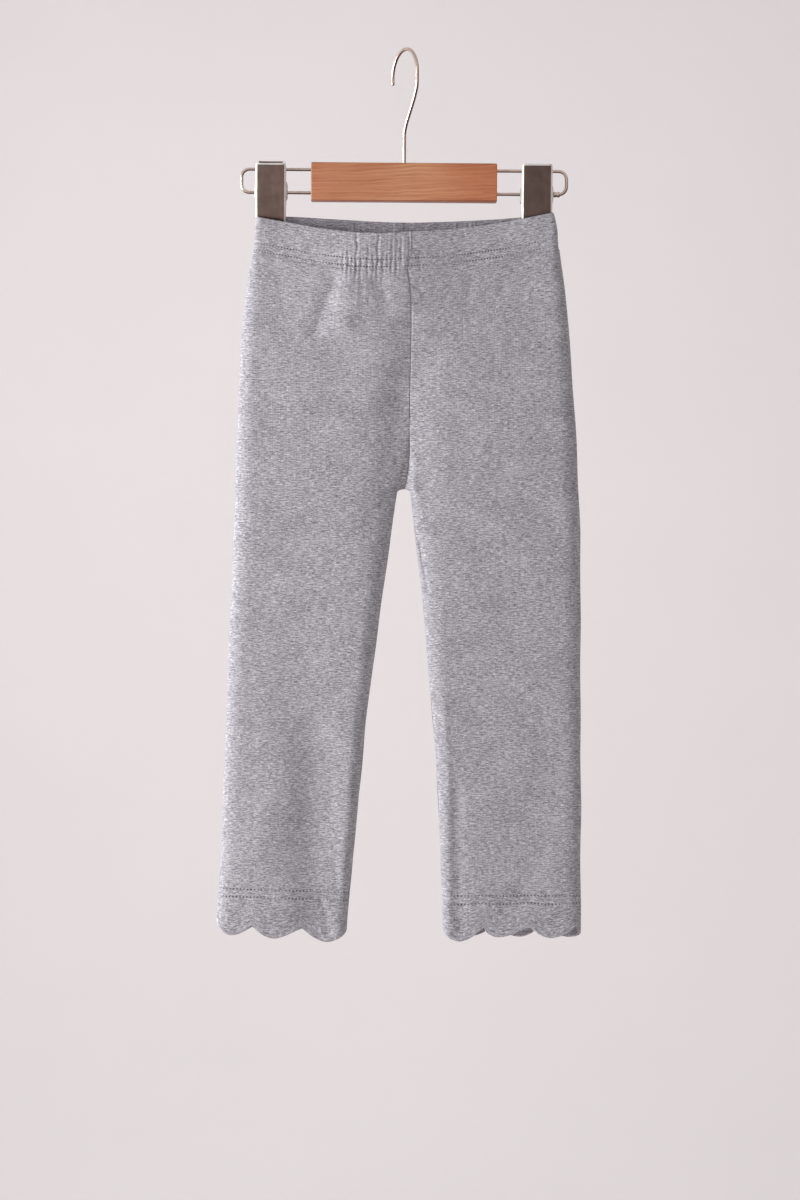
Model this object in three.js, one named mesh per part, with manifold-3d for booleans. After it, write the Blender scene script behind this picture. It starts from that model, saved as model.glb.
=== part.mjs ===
import * as THREE from "three";
import { mergeVertices } from "three/addons/utils/BufferGeometryUtils.js";
import Module from "manifold-3d";

// A child's jersey leggings with an elastic waist and scalloped hems, hung by the back of the waist from
// a clip hanger. Millimetres. +Z is up, the front faces -Y and the origin is where the hook rests on a
// rail. Right and left are the wearer's: the right leg is at -X and the left leg at +X.

// Cloth sizes
const CLOTH = 1.2;
const BAND_WALL = 2.2;
const FACING_WALL = 1;
const SEAM_GAP = 0.3;
const BAND_HEIGHT = 32;
const COLUMNS_A_SCALLOP = 8;

// Heights of the garment's landmarks
const WAIST_Z = -143;
const LEG_TOP_Z = WAIST_Z - BAND_HEIGHT - SEAM_GAP;
const LEVEL_Z = -285;
const CLOSE_START_Z = -310;
const CROTCH_Z = -377;
const FACING_TOP_Z = -719;
const HEM_Z = -752;
const ARCH_HEIGHT = 3;
const CLOSING_POWER = 1.6;

// Hanger sizes
const HANGER_TILT = THREE.MathUtils.degToRad(0.43);
const BLOCK = { length: 159.8, depth: 12.5, height: 32.9, top: -96.8, bevel: 0.8 };
const FRAME = { half: 139.7, wire: 2.8, top: -102.5, bottom: -122.5, bend: 5.6 };
const CRIMP = { x: 131.2, length: 5.6, diameter: 4.8 };
const HOOK_TURN = THREE.MathUtils.degToRad(28.5);
const HOOK = { wire: 3, radius: 22, stemTop: -72, bowFoot: -30, tip: 197 };
const HOOK_BEND = { stemHandle: 10, bowHandle: { across: -1.2, down: 14 } };
const HOOK_SOCKET_DEPTH = 3.4;
const BORE_GAP = 0.35;
const CLIP_SHEET = 1;
const CLIP_SPRING = { length: 15, diameter: 6 };
const CLIP_EARS = { front: { from: 11.25, to: 12.25 }, back: { from: 12.6, to: 13.6 } };

// The two clips: where each sits on the frame, which way is out and how high its jaws reach.
const CLIPS = [
  { name: "right", x: -114.3, out: -1, front: -98.9, back: -94.1 },
  { name: "left", x: 114.3, out: 1, front: -98, back: -95.8 },
];

// Each jaw's plate down from its top: the distance from the middle plane and how far it reaches out and in
// along the frame. The front jaw is inside the waist, so it narrows beside the fold.
const JAW_PLATES = {
  front: [
    { z: null, away: 8.6, out: 12.25, in: 12.25 },
    { z: -101, away: 7.7, out: 12.25, in: 12.25 },
    { z: -131, away: 6.2, out: 12.25, in: 12.25 },
    { z: -141.5, away: 4.6, out: 10.6, in: 12.25 },
    { z: -147, away: 1.45, out: 7.6, in: 12 },
    { z: -153, away: 1.45, out: 7.6, in: 12 },
  ],
  back: [
    { z: null, away: 8.6, out: 10.8, in: 10.8 },
    { z: -101, away: 7.7, out: 10.8, in: 10.8 },
    { z: -112, away: 7.1, out: 10.8, in: 10.8 },
    { z: -115, away: 7, out: 13.6, in: 13.6 },
    { z: -130, away: 6.2, out: 13.6, in: 13.6 },
    { z: -133, away: 6, out: 11.5, in: 11.5 },
    { z: -141.5, away: 4.6, out: 11.5, in: 11.5 },
    { z: -147, away: 1.45, out: 11.5, in: 11.5 },
    { z: -153, away: 1.45, out: 11.5, in: 11.5 },
  ],
};

// The outline of a jaw's ear seen from the side, with its bore on the frame's lower wire.
const JAW_EAR = [
  { away: 6.8, z: -131 },
  { away: 7.6, z: -114.5 },
  { away: 3.2, z: -115 },
  { away: -2.4, z: -118.4 },
  { away: -3.6, z: -122.5 },
  { away: -2.4, z: -126.6 },
  { away: 3.2, z: -130.5 },
];

// The outline and depth of the whole garment down its length: the outer edge of each leg, the front and
// back faces, and the width and squareness of the rolled outer edge.
const BODY = [
  { z: -140, right: -128.2, left: 127.6, front: -11.2, back: 1.1, roll: 6.5, square: 3 },
  { z: -158, right: -128.6, left: 130.8, front: -11.8, back: 1.1, roll: 6.5, square: 3 },
  { z: -172, right: -130.2, left: 132.2, front: -12.4, back: 1.7, roll: 8, square: 2.8 },
  { z: -184, right: -133.4, left: 133.6, front: -13, back: 2.4, roll: 10, square: 2.6 },
  { z: -214, right: -137.1, left: 137.5, front: -13.8, back: 4, roll: 12, square: 2.4 },
  { z: -257, right: -141.3, left: 141.8, front: -14, back: 5.5, roll: 14, square: 2.3 },
  { z: -343, right: -144.8, left: 147.7, front: -13, back: 7, roll: 16, square: 2.3 },
  { z: -429, right: -147.6, left: 150.6, front: -12, back: 7, roll: 16, square: 2.3 },
  { z: -515, right: -151.7, left: 150.9, front: -11, back: 6, roll: 16, square: 2.3 },
  { z: -601, right: -154.7, left: 150.9, front: -10, back: 5.5, roll: 15, square: 2.3 },
  { z: -687, right: -158.4, left: 151, front: -9.5, back: 5, roll: 14, square: 2.3 },
  { z: -752, right: -162.6, left: 151, front: -9, back: 5, roll: 12, square: 2.3 },
];

// Where the centre front and centre back seams run.
const CENTRE_SEAM = [
  { z: -143, front: 4.6, back: -1.7 },
  { z: -176, front: 4.2, back: -1.5 },
  { z: -187, front: 2.4, back: -1.4 },
  { z: -199, front: 3.4, back: -1.2 },
  { z: -213, front: 4.9, back: -1 },
  { z: -300, front: 4.3, back: 0.2 },
  { z: -350, front: 3.4, back: 0.8 },
  { z: -368, front: 1.4, back: 0 },
  { z: -377, front: -0.9, back: -0.9 },
];

// The inner edge of each leg below the crotch.
const INNER_EDGE = [
  { z: -377, right: -6.6, left: 4.2 },
  { z: -429, right: -13.8, left: 9.9 },
  { z: -472, right: -19.8, left: 15 },
  { z: -558, right: -31.6, left: 22.2 },
  { z: -644, right: -40.2, left: 28.6 },
  { z: -721, right: -47.3, left: 31.6 },
  { z: -752, right: -50, left: 31.8 },
];

// The width over which each leg's inner edge rolls in from the front face, and from the back face of both.
const INNER_ROLL = [
  { z: -310, right: 6, left: 3, back: 8 },
  { z: -345, right: 11, left: 4, back: 15 },
  { z: -377, right: 17, left: 5.5, back: 24 },
  { z: -400, right: 19, left: 13, back: 24 },
  { z: -440, right: 18, left: 20, back: 22 },
  { z: -520, right: 14, left: 16, back: 20 },
  { z: -600, right: 12, left: 12, back: 18 },
  { z: -752, right: 10, left: 7, back: 12 },
];

// The wide dip of both faces towards the centre seams.
const CENTRE_DIP_WIDTH = 38;
const CENTRE_DIP = [
  { z: -200, depth: 0 },
  { z: -257, depth: 1.2 },
  { z: -343, depth: 3 },
  { z: -377, depth: 3.5 },
  { z: -430, depth: 1.5 },
  { z: -480, depth: 0 },
];

// The waist's upper edge. The clips hold the back, and the front hangs lower.
const FRONT_EDGE = [
  { x: -130, z: -143.2 },
  { x: -102, z: -148.2 },
  { x: -63, z: -155.1 },
  { x: -30, z: -158.3 },
  { x: 5, z: -157.1 },
  { x: 40, z: -154.5 },
  { x: 82, z: -148.9 },
  { x: 131, z: -139.3 },
];
const BACK_EDGE = [
  { x: -130, z: -143.2 },
  { x: -101, z: -142.4 },
  { x: -65, z: -144.4 },
  { x: 0, z: -147.5 },
  { x: 40, z: -146.6 },
  { x: 95, z: -143.4 },
  { x: 131, z: -139.3 },
];

// The largest soft folds. Each runs from one place to another on a face and rises out of it or, where the
// rise is negative, sinks in.
const FOLDS = [
  { face: "front", from: [-22, -143], to: [-22, -195], width: 50, rise: 6 },
  { face: "front", from: [-61, -190], to: [-76, -238], width: 8, rise: -1.6 },
  { face: "front", from: [-49, -185], to: [-50, -232], width: 9, rise: 1.5 },
  { face: "front", from: [-20, -185], to: [-16, -215], width: 8, rise: -1.2 },
  { face: "front", from: [-88, -480], to: [-84, -560], width: 22, rise: -1 },
  { face: "front", from: [-80, -590], to: [-78, -745], width: 16, rise: -3.2 },
  { face: "front", from: [-118, -600], to: [-128, -740], width: 22, rise: 1.6 },
  { face: "front", from: [44, -640], to: [47, -745], width: 6, rise: -1.2 },
  { face: "front", from: [92, -735], to: [118, -690], width: 10, rise: -0.9 },
  { face: "back", from: [40, -185], to: [46, -235], width: 10, rise: -1.5 },
  { face: "back", from: [-30, -190], to: [-38, -225], width: 9, rise: -1.2 },
  { face: "back", from: [-96, -560], to: [-104, -740], width: 18, rise: -2.4 },
  { face: "back", from: [96, -540], to: [90, -735], width: 20, rise: -2 },
];

// Gathers where the elastic draws the waist in: evenly spaced small waves between two places on a face.
const FRONT_GATHERS = { face: "front", from: -54, to: -1.2, spacing: 4.8, rise: 0.6 };
const BACK_GATHERS = { face: "back", from: 17.6, to: 66, spacing: 4.4, rise: 0.5 };
const SMALL_GATHERS = { face: "back", from: -48.4, to: -13.2, spacing: 4.4, rise: 0.3 };
const GATHERS = [FRONT_GATHERS, BACK_GATHERS, SMALL_GATHERS];
const GATHER_FADE = 6;
const GATHERED_AT_TOP = 0.2;
const GATHERS_END_Z = -210;

// How each leg lies: how far it is opened at the hem, how far the hem drops to each millimetre of +X and how
// much higher it hangs at the back and at the outer fold. The gathers are those that run on from the
// waistband into the leg.
const LEGS = {
  right: { side: -1, opening: 0.5, hemDrop: 0.042, backLift: 11, foldLift: 4.5, gathers: FRONT_GATHERS },
  left: { side: 1, opening: 0, hemDrop: 0, backLift: 0, foldLift: 0, gathers: BACK_GATHERS },
};
const FOLD_LIFT_POWER = 5;

// How far each leg's inseam has turned round towards the front.
const SEAM_TURN = {
  right: [
    { z: -377, turn: 0 },
    { z: -752, turn: 0.4 },
  ],
  left: [
    { z: -377, turn: 0 },
    { z: -412, turn: 1.5 },
    { z: -430, turn: 5.4 },
    { z: -446, turn: 4.6 },
    { z: -470, turn: 0.4 },
    { z: -520, turn: -0.4 },
    { z: -752, turn: -0.4 },
  ],
};

// The scallops of each hem from the inseam round the front and the back: where each ends, as a share of
// the way round, how deep it hangs and how its lowest point leans.
const SCALLOP_POWER = 1.7;
const SCALLOPS = {
  right: [
    { end: 0.174, depth: 10.9, lean: 1.1 },
    { end: 0.3465, depth: 9.5, lean: 1.27 },
    { end: 0.4935, depth: 9.2, lean: 1.1 },
    { end: 0.664, depth: 9.6, lean: 1.25 },
    { end: 0.832, depth: 9.6, lean: 1.25 },
    { end: 1, depth: 9.6, lean: 1.25 },
  ],
  left: [
    { end: 0.1595, depth: 12.2, lean: 0.94 },
    { end: 0.3185, depth: 8.5, lean: 0.6 },
    { end: 0.4775, depth: 9.2, lean: 0.84 },
    { end: 0.659, depth: 9.7, lean: 0.8 },
    { end: 0.822, depth: 9.4, lean: 0.76 },
    { end: 1, depth: 9, lean: 0.76 },
  ],
};

// Rows of a leg's wall from the waistband to the hem
const LEG_ROWS = [
  LEG_TOP_Z, -182, -191, -201, GATHERS_END_Z, -240, -275, -305, -326, -342, -356, -367, CROTCH_Z,
  -377.6, -378.5, -380, -386, -400, -430, -475, -530, -590, -650, -695, FACING_TOP_Z, -737, HEM_Z,
];
const FACING_ROWS = [FACING_TOP_Z, -737, HEM_Z];

// The waistband's wall in section: how far below the upper edge and how deep into the wall.
const BAND_SECTION = [
  { down: BAND_HEIGHT, depth: 0 },
  { down: 29, depth: 0 },
  { down: 25, depth: 0 },
  { down: 17, depth: 0 },
  { down: 8, depth: 0 },
  { down: 2, depth: 0 },
  { down: 0.4, depth: 0.3 },
  { down: 0, depth: BAND_WALL / 2 },
  { down: 0.4, depth: BAND_WALL - 0.3 },
  { down: 2, depth: BAND_WALL },
  { down: 17, depth: BAND_WALL },
  { down: BAND_HEIGHT, depth: BAND_WALL },
];
const BAND_STEP = 9;
const BAND_FOLD_INSETS = [0, 0.5, 1.9, 4, 6.5, 10];
const PATH_STEPS = 90;
const MOST_THICKENED = 1.8;

const wasm = await Module();
wasm.setup();

// Short tables as smooth curves

function curveThrough(rows, along) {
  const names = Object.keys(rows[0]).filter((name) => name !== along);
  const sorted = [...rows].sort((a, b) => a[along] - b[along]);
  const places = sorted.map((row) => row[along]);
  const values = sorted.flatMap((row) => names.map((name) => row[name]));
  const curve = new THREE.CubicInterpolant(places, values, names.length);
  return (place) => {
    const found = curve.evaluate(place);
    return Object.fromEntries(names.map((name, i) => [name, found[i]]));
  };
}

const bodyAt = curveThrough(BODY, "z");
const centreAt = curveThrough(CENTRE_SEAM, "z");
const innerEdgeAt = curveThrough(INNER_EDGE, "z");
const innerRollAt = curveThrough(INNER_ROLL, "z");
const centreDipAt = curveThrough(CENTRE_DIP, "z");
const frontEdgeAt = curveThrough(FRONT_EDGE, "x");
const backEdgeAt = curveThrough(BACK_EDGE, "x");
const seamTurnAt = { right: curveThrough(SEAM_TURN.right, "z"), left: curveThrough(SEAM_TURN.left, "z") };

// The share of the way from one height down to another, from 0 to 1.
function shareDown(z, from, to) {
  return THREE.MathUtils.clamp((from - z) / (from - to), 0, 1);
}

// The garment's surface

function innerX(leg, z, face) {
  const { side } = LEGS[leg];
  if (z > CROTCH_Z) return centreAt(z)[face] + (side * SEAM_GAP) / 2;
  const line = innerEdgeAt(z)[leg];
  const top = centreAt(CROTCH_Z).front + (side * SEAM_GAP) / 2;
  const arch = 1 - shareDown(z, CROTCH_Z, CROTCH_Z - ARCH_HEIGHT);
  return line + (top - line) * (1 - Math.sqrt(1 - arch ** 2));
}

// How much of the full depth a rolled edge leaves at a distance in from it.
function rollShape(distance, width, square) {
  if (distance >= width) return 1;
  return (1 - (1 - distance / width) ** square) ** (1 / square);
}

function foldRise(face, x, z) {
  const place = new THREE.Vector3(x, z, 0);
  const nearest = new THREE.Vector3();
  let rise = 0;
  for (const fold of FOLDS.filter((f) => f.face === face)) {
    const run = new THREE.Line3(new THREE.Vector3(...fold.from), new THREE.Vector3(...fold.to));
    run.closestPointToPoint(place, true, nearest);
    rise += fold.rise * Math.exp(-((nearest.distanceTo(place) / fold.width) ** 2));
  }
  return rise;
}

// A point of the outer surface on one face, at a distance in from the leg's inner edge.
function facePoint(leg, z, face, fromInner) {
  const { side, opening } = LEGS[leg];
  const body = bodyAt(z);
  const inner = innerX(leg, z, face);
  const width = Math.abs(body[leg] - inner);
  const closing = shareDown(z, CLOSE_START_Z, CROTCH_Z) ** CLOSING_POWER;
  const legShare = shareDown(z, CROTCH_Z, HEM_Z);
  const x = inner + side * fromInner;
  const outerShape = rollShape(width - fromInner, body.roll, body.square);
  const innerRoll = innerRollAt(z)[face === "front" ? leg : "back"];
  const innerShape = 1 - closing * (1 - rollShape(fromInner, innerRoll, 2));
  const half = ((body.back - body.front) / 2) * (1 + opening * legShare ** 2);
  const dipShare = Math.min(fromInner / CENTRE_DIP_WIDTH, 1);
  const dip = (centreDipAt(z).depth * (1 + Math.cos(Math.PI * dipShare))) / 2;
  const depth = (half + foldRise(face, x, z) - dip) * outerShape * innerShape;
  const middle = (body.front + body.back) / 2;
  return { x, y: middle + (face === "front" ? -depth : depth), face };
}

// The outline of one leg's half of a section, from the front seam round the outer edge to the back seam.
function sectionPath(leg, z) {
  const points = [];
  for (const face of ["front", "back"]) {
    const width = Math.abs(bodyAt(z)[leg] - innerX(leg, z, face));
    for (let i = 0; i <= PATH_STEPS; i++) {
      const step = face === "front" ? i : PATH_STEPS - i;
      if (face === "back" && i === 0) continue;
      const share = (1 - Math.cos((Math.PI * step) / PATH_STEPS)) / 2;
      points.push(facePoint(leg, z, face, share * width));
    }
  }
  return points;
}

// Adds each point's outward direction in the level plane, on the given side of the way the path runs.
function withNormals(points, side, closed) {
  const last = points.length - 1;
  return points.map((point, i) => {
    const before = points[closed ? (i + last) % points.length : Math.max(i - 1, 0)];
    const after = points[closed ? (i + 1) % points.length : Math.min(i + 1, last)];
    const along = new THREE.Vector2(after.x - before.x, after.y - before.y).normalize();
    return { ...point, nx: side * along.y, ny: -side * along.x };
  });
}

// The scallop that a share of the way round a leg lies in, and where it starts.
function scallopAt(leg, share) {
  const found = SCALLOPS[leg].findIndex((scallop) => share < scallop.end);
  const place = found < 0 ? SCALLOPS[leg].length - 1 : found;
  return { ...SCALLOPS[leg][place], start: place === 0 ? 0 : SCALLOPS[leg][place - 1].end };
}

// Shares of the way round a leg, as many in each scallop.
function columnShares(leg) {
  const shares = [0];
  for (const { end } of SCALLOPS[leg]) {
    const start = shares.at(-1);
    for (let i = 1; i <= COLUMNS_A_SCALLOP; i++) {
      shares.push(THREE.MathUtils.lerp(start, end, i / COLUMNS_A_SCALLOP));
    }
  }
  return shares;
}

// Places along a section of a leg: the scallops' columns, and close together in the gathers under the
// waistband.
function placesAlong(leg, z, total) {
  const even = columnShares(leg).map((share) => share * total);
  if (z <= GATHERS_END_Z) return even;
  const { face, from, to, spacing } = LEGS[leg].gathers;
  const step = spacing / 2;
  const fromSeam = [from, to].map((x) => Math.abs(x - innerX(leg, z, face)));
  const zoneStart = face === "front" ? Math.min(...fromSeam) : total - Math.max(...fromSeam);
  const waves = Array.from({ length: Math.round((to - from) / step) + 1 }, (_, i) => zoneStart + i * step);
  const plain = even.filter((place) => place < zoneStart - step || place > waves.at(-1) + step);
  return [...plain, ...waves].sort((a, b) => a - b);
}

// Points along a leg's section. Below the crotch the section is a ring, whose ends meet at the inseam.
function sectionPoints(leg, z) {
  const { side, gathers } = LEGS[leg];
  const ring = z <= CROTCH_Z;
  const path = withNormals(sectionPath(leg, z), side, ring);
  const lengths = [0];
  for (let i = 1; i < path.length; i++) {
    const step = Math.hypot(path[i].x - path[i - 1].x, path[i].y - path[i - 1].y);
    lengths.push(lengths[i - 1] + step);
  }
  const total = lengths.at(-1);
  const trim = ring ? SEAM_GAP / 2 : 0;
  const start = seamTurnAt[leg](z).turn + trim;
  const gatherShare = 1 - shareDown(z, LEG_TOP_Z, GATHERS_END_Z);
  const places = placesAlong(leg, z, total - 2 * trim);
  return places.map((from) => {
    const raw = start + from;
    const place = ring ? THREE.MathUtils.euclideanModulo(raw, total) : Math.min(raw, total);
    const next = Math.max(1, lengths.findIndex((length) => length >= place));
    const share = (place - lengths[next - 1]) / (lengths[next] - lengths[next - 1]);
    const point = { face: path[next].face, at: from / places.at(-1) };
    for (const name of ["x", "y", "nx", "ny"]) {
      point[name] = THREE.MathUtils.lerp(path[next - 1][name], path[next][name], share);
    }
    const rise = gatherRise(point, [gathers]) * gatherShare;
    return { ...point, x: point.x + point.nx * rise, y: point.y + point.ny * rise };
  });
}

// How far the waist's upper edge lies above or below its level height at a place.
function waistShift(point) {
  const edge = point.face === "front" ? frontEdgeAt(point.x) : backEdgeAt(point.x);
  return edge.z - WAIST_Z;
}

// How far the hem's edge drops below its notches, for a share of the way round from the inseam.
function scallopDrop(leg, share) {
  const { start, end, depth, lean } = scallopAt(leg, share);
  const across = 2 * ((share - start) / (end - start)) ** lean - 1;
  return depth * (1 - Math.abs(across) ** SCALLOP_POWER);
}

// A leg's outer surface as rows of points, with the height that each has after the waist's dip, the hem's
// slope, the lift of its back and of its outer fold, and the scallops.
function legRows(leg, heights) {
  const { side, hemDrop, backLift, foldLift } = LEGS[leg];
  return heights.map((level) => {
    const row = sectionPoints(leg, level);
    const outer = bodyAt(level)[leg];
    const middle = (outer + innerX(leg, Math.min(level, CROTCH_Z), "front")) / 2;
    const halfWidth = Math.abs(outer - middle);
    const dipShare = 1 - shareDown(level, LEG_TOP_Z, LEVEL_Z);
    const hemShare = shareDown(level, FACING_TOP_Z, HEM_Z) ** 2;
    const legShare = shareDown(level, CROTCH_Z, HEM_Z);
    return row.map((point) => {
      const slope = hemDrop * (point.x - middle) * legShare;
      const toFold = Math.max((side * (point.x - middle)) / halfWidth, 0) ** FOLD_LIFT_POWER;
      const lift = backLift * Math.max(point.ny, 0) * legShare + foldLift * toFold * hemShare;
      const drop = scallopDrop(leg, point.at) * hemShare;
      return { ...point, z: level + dipShare * waistShift(point) - slope + lift - drop };
    });
  });
}

// The point of a row at a share of the way along it.
function pointAlong(row, at) {
  const next = Math.max(1, row.findIndex((point) => point.at >= at));
  const { x, y, z, at: before } = row[next - 1];
  const share = (at - before) / (row[next].at - before);
  return new THREE.Vector3(x, y, z).lerp(row[next], share);
}

// Rows of points moved into the wall by a depth, more where the wall leans so that it stays as thick.
function movedIn(rows, depth) {
  return rows.map((row, r) =>
    row.map((point) => {
      const above = pointAlong(rows[Math.max(r - 1, 0)], point.at);
      const below = pointAlong(rows[Math.min(r + 1, rows.length - 1)], point.at);
      const across = (below.x - above.x) * point.nx + (below.y - above.y) * point.ny;
      const lean = across / (below.z - above.z);
      const reach = depth * Math.min(Math.sqrt(1 + lean ** 2), MOST_THICKENED);
      const { x, y, z, nx, ny, at } = point;
      return { x: x - nx * reach, y: y - ny * reach, z, at };
    }),
  );
}

// Solids

function geometryOf(points, index) {
  const geometry = new THREE.BufferGeometry();
  const positions = points.flatMap((point) => [point.x, point.y, point.z]);
  geometry.setAttribute("position", new THREE.Float32BufferAttribute(positions, 3));
  geometry.setIndex(volumeOf(positions, index) < 0 ? index.reverse() : index);
  return geometry;
}

function volumeOf(positions, index) {
  const corner = (i) => new THREE.Vector3().fromArray(positions, index[i] * 3);
  let volume = 0;
  for (let i = 0; i < index.length; i += 3) {
    volume += corner(i).dot(corner(i + 1).cross(corner(i + 2))) / 6;
  }
  return volume;
}

// A closed skin through rings of equally many points. The ends are closed by strips across each ring, or
// the last ring is joined to the first.
function loft(rings, joined = false) {
  const count = rings[0].length;
  const index = [];
  const quad = (a, b, c, d) => index.push(a, b, c, a, c, d);
  const spans = joined ? rings.length : rings.length - 1;
  for (let r = 0; r < spans; r++) {
    const here = r * count;
    const next = ((r + 1) % rings.length) * count;
    for (let i = 0; i < count; i++) {
      const j = (i + 1) % count;
      quad(here + i, here + j, next + j, next + i);
    }
  }
  const end = (rings.length - 1) * count;
  for (let i = 0; !joined && i < count / 2 - 1; i++) {
    const far = count - 1 - i;
    quad(i, far, far - 1, i + 1);
    quad(end + i, end + i + 1, end + far - 1, end + far);
  }
  return geometryOf(rings.flat(), index);
}

// The triangles between two lines of points that run the same way. Either may have more points.
function stripBetween(upper, lower) {
  const triangles = [];
  let i = 0;
  let j = 0;
  while (i < upper.length - 1 || j < lower.length - 1) {
    const lowerEnded = j === lower.length - 1;
    const upperIsNext = i < upper.length - 1 && upper[i + 1].at < lower[Math.min(j + 1, lower.length - 1)].at;
    if (lowerEnded || upperIsNext) {
      triangles.push(upper[i].id, lower[j].id, upper[i + 1].id);
      i += 1;
    } else {
      triangles.push(upper[i].id, lower[j].id, lower[j + 1].id);
      j += 1;
    }
  }
  return triangles;
}

// The closed wall between rows of outer points and the same rows moved in.
function wallBetween(outerRows, innerRows) {
  let id = 0;
  const numbered = (rows) => rows.map((row) => row.map((point) => ({ ...point, id: id++ })));
  const outer = numbered(outerRows);
  const inner = numbered(innerRows);
  const column = (rows, place) => rows.map((row, r) => ({ ...row.at(place), at: r }));
  const index = [
    ...stripBetween(inner[0], outer[0]),
    ...stripBetween(outer.at(-1), inner.at(-1)),
    ...stripBetween(column(outer, 0), column(inner, 0)),
    ...stripBetween(column(inner, -1), column(outer, -1)),
  ];
  for (let r = 0; r < outer.length - 1; r++) {
    index.push(...stripBetween(outer[r], outer[r + 1]));
    index.push(...stripBetween(inner[r + 1], inner[r]));
  }
  return geometryOf([...outer, ...inner].flat(), index);
}

function toSolid(geometry) {
  const bare = geometry.clone();
  bare.deleteAttribute("normal");
  bare.deleteAttribute("uv");
  const merged = mergeVertices(bare, 1e-4);
  return new wasm.Manifold(
    new wasm.Mesh({
      numProp: 3,
      vertProperties: merged.attributes.position.array,
      triVerts: new Uint32Array(merged.index.array),
    }),
  );
}

function toGeometry(solid) {
  const mesh = solid.getMesh();
  const geometry = new THREE.BufferGeometry();
  geometry.setAttribute("position", new THREE.BufferAttribute(mesh.vertProperties, 3));
  geometry.setIndex(new THREE.BufferAttribute(mesh.triVerts, 1));
  return geometry;
}

// Garment pieces

function legWall(leg) {
  const rows = legRows(leg, LEG_ROWS);
  return wallBetween(movedIn(rows, 0), movedIn(rows, CLOTH));
}

function hemFacing(leg) {
  const rows = legRows(leg, FACING_ROWS);
  const start = CLOTH + SEAM_GAP;
  return wallBetween(movedIn(rows, start), movedIn(rows, start + FACING_WALL));
}

// Places round the waistband at a level: close together in the gathers and at the side folds, and wide
// apart between. Each level has as many, because only the side folds move.
function bandStations(leg, face, level) {
  const { side } = LEGS[leg];
  const widthAt = (z) => Math.abs(bodyAt(z)[leg] - innerX(leg, z, face));
  const lastPlace = widthAt(WAIST_Z) - BAND_FOLD_INSETS.at(-1);
  const fold = BAND_FOLD_INSETS.map((inset) => widthAt(level) - inset);
  const waves = [];
  for (const gather of GATHERS.filter((g) => g.face === face)) {
    for (let x = gather.from; x <= gather.to + 0.01; x += gather.spacing / 2) {
      waves.push((x - innerX(leg, WAIST_Z, face)) * side);
    }
  }
  const inZone = waves.filter((d) => d > 1 && d < lastPlace);
  const plain = [];
  for (let d = 0; d < lastPlace - BAND_STEP / 2; d += BAND_STEP) {
    if (!inZone.some((wave) => Math.abs(wave - d) < BAND_STEP / 2)) plain.push(d);
  }
  return [...plain, ...inZone, ...fold].sort((a, b) => a - b);
}

function gatherRise(point, gathers = GATHERS) {
  let rise = 0;
  for (const gather of gathers.filter((g) => g.face === point.face)) {
    const inside = Math.min(point.x - gather.from, gather.to - point.x);
    const fade = THREE.MathUtils.clamp(inside / GATHER_FADE, 0, 1);
    const phase = (2 * Math.PI * (point.x - gather.from)) / gather.spacing;
    rise -= gather.rise * fade * Math.cos(phase);
  }
  return rise;
}

// One ring of the waistband at a distance below its upper edge, from the centre front round the wearer's
// right side, the back and the left side.
function bandRing({ down, depth }) {
  const level = WAIST_Z - down;
  const run = (leg, face) => bandStations(leg, face, level).map((d) => facePoint(leg, level, face, d));
  const ring = [
    ...run("right", "front"),
    ...run("right", "back").reverse().slice(1),
    ...run("left", "back").slice(1),
    ...run("left", "front").reverse().slice(1, -1),
  ];
  return withNormals(ring, -1, true).map((point) => {
    const gathered = Math.min(down / BAND_HEIGHT + GATHERED_AT_TOP, 1);
    const pull = depth === 0 ? gatherRise(point) * gathered : -depth;
    const z = level + waistShift(point);
    return new THREE.Vector3(point.x + point.nx * pull, point.y + point.ny * pull, z);
  });
}

function waistband() {
  return loft(BAND_SECTION.map(bandRing), true);
}

// Hanger pieces

// A round wire through points in an upright plane, which turns that plane's sideways axis from +X.
function wireAlong(points, diameter, turn = 0, sides = 10) {
  const across = new THREE.Vector3(Math.cos(turn), Math.sin(turn), 0);
  const normal = new THREE.Vector3(-Math.sin(turn), Math.cos(turn), 0);
  const at = points.map((p) => across.clone().multiplyScalar(p.x).setZ(p.y));
  const rings = at.map((centre, i) => {
    const before = at[Math.max(i - 1, 0)];
    const after = at[Math.min(i + 1, at.length - 1)];
    const along = after.clone().sub(before).normalize();
    const outward = along.cross(normal);
    return Array.from({ length: sides }, (_, k) => {
      const angle = (2 * Math.PI * (k + 0.5)) / sides;
      return centre
        .clone()
        .addScaledVector(outward, (Math.cos(angle) * diameter) / 2)
        .addScaledVector(normal, (Math.sin(angle) * diameter) / 2);
    });
  });
  return loft(rings);
}

function rodAlongX(x, z, length, diameter, sides = 16) {
  const rod = new THREE.CylinderGeometry(diameter / 2, diameter / 2, length, sides);
  return rod.rotateZ(Math.PI / 2).translate(x, 0, z);
}

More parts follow.
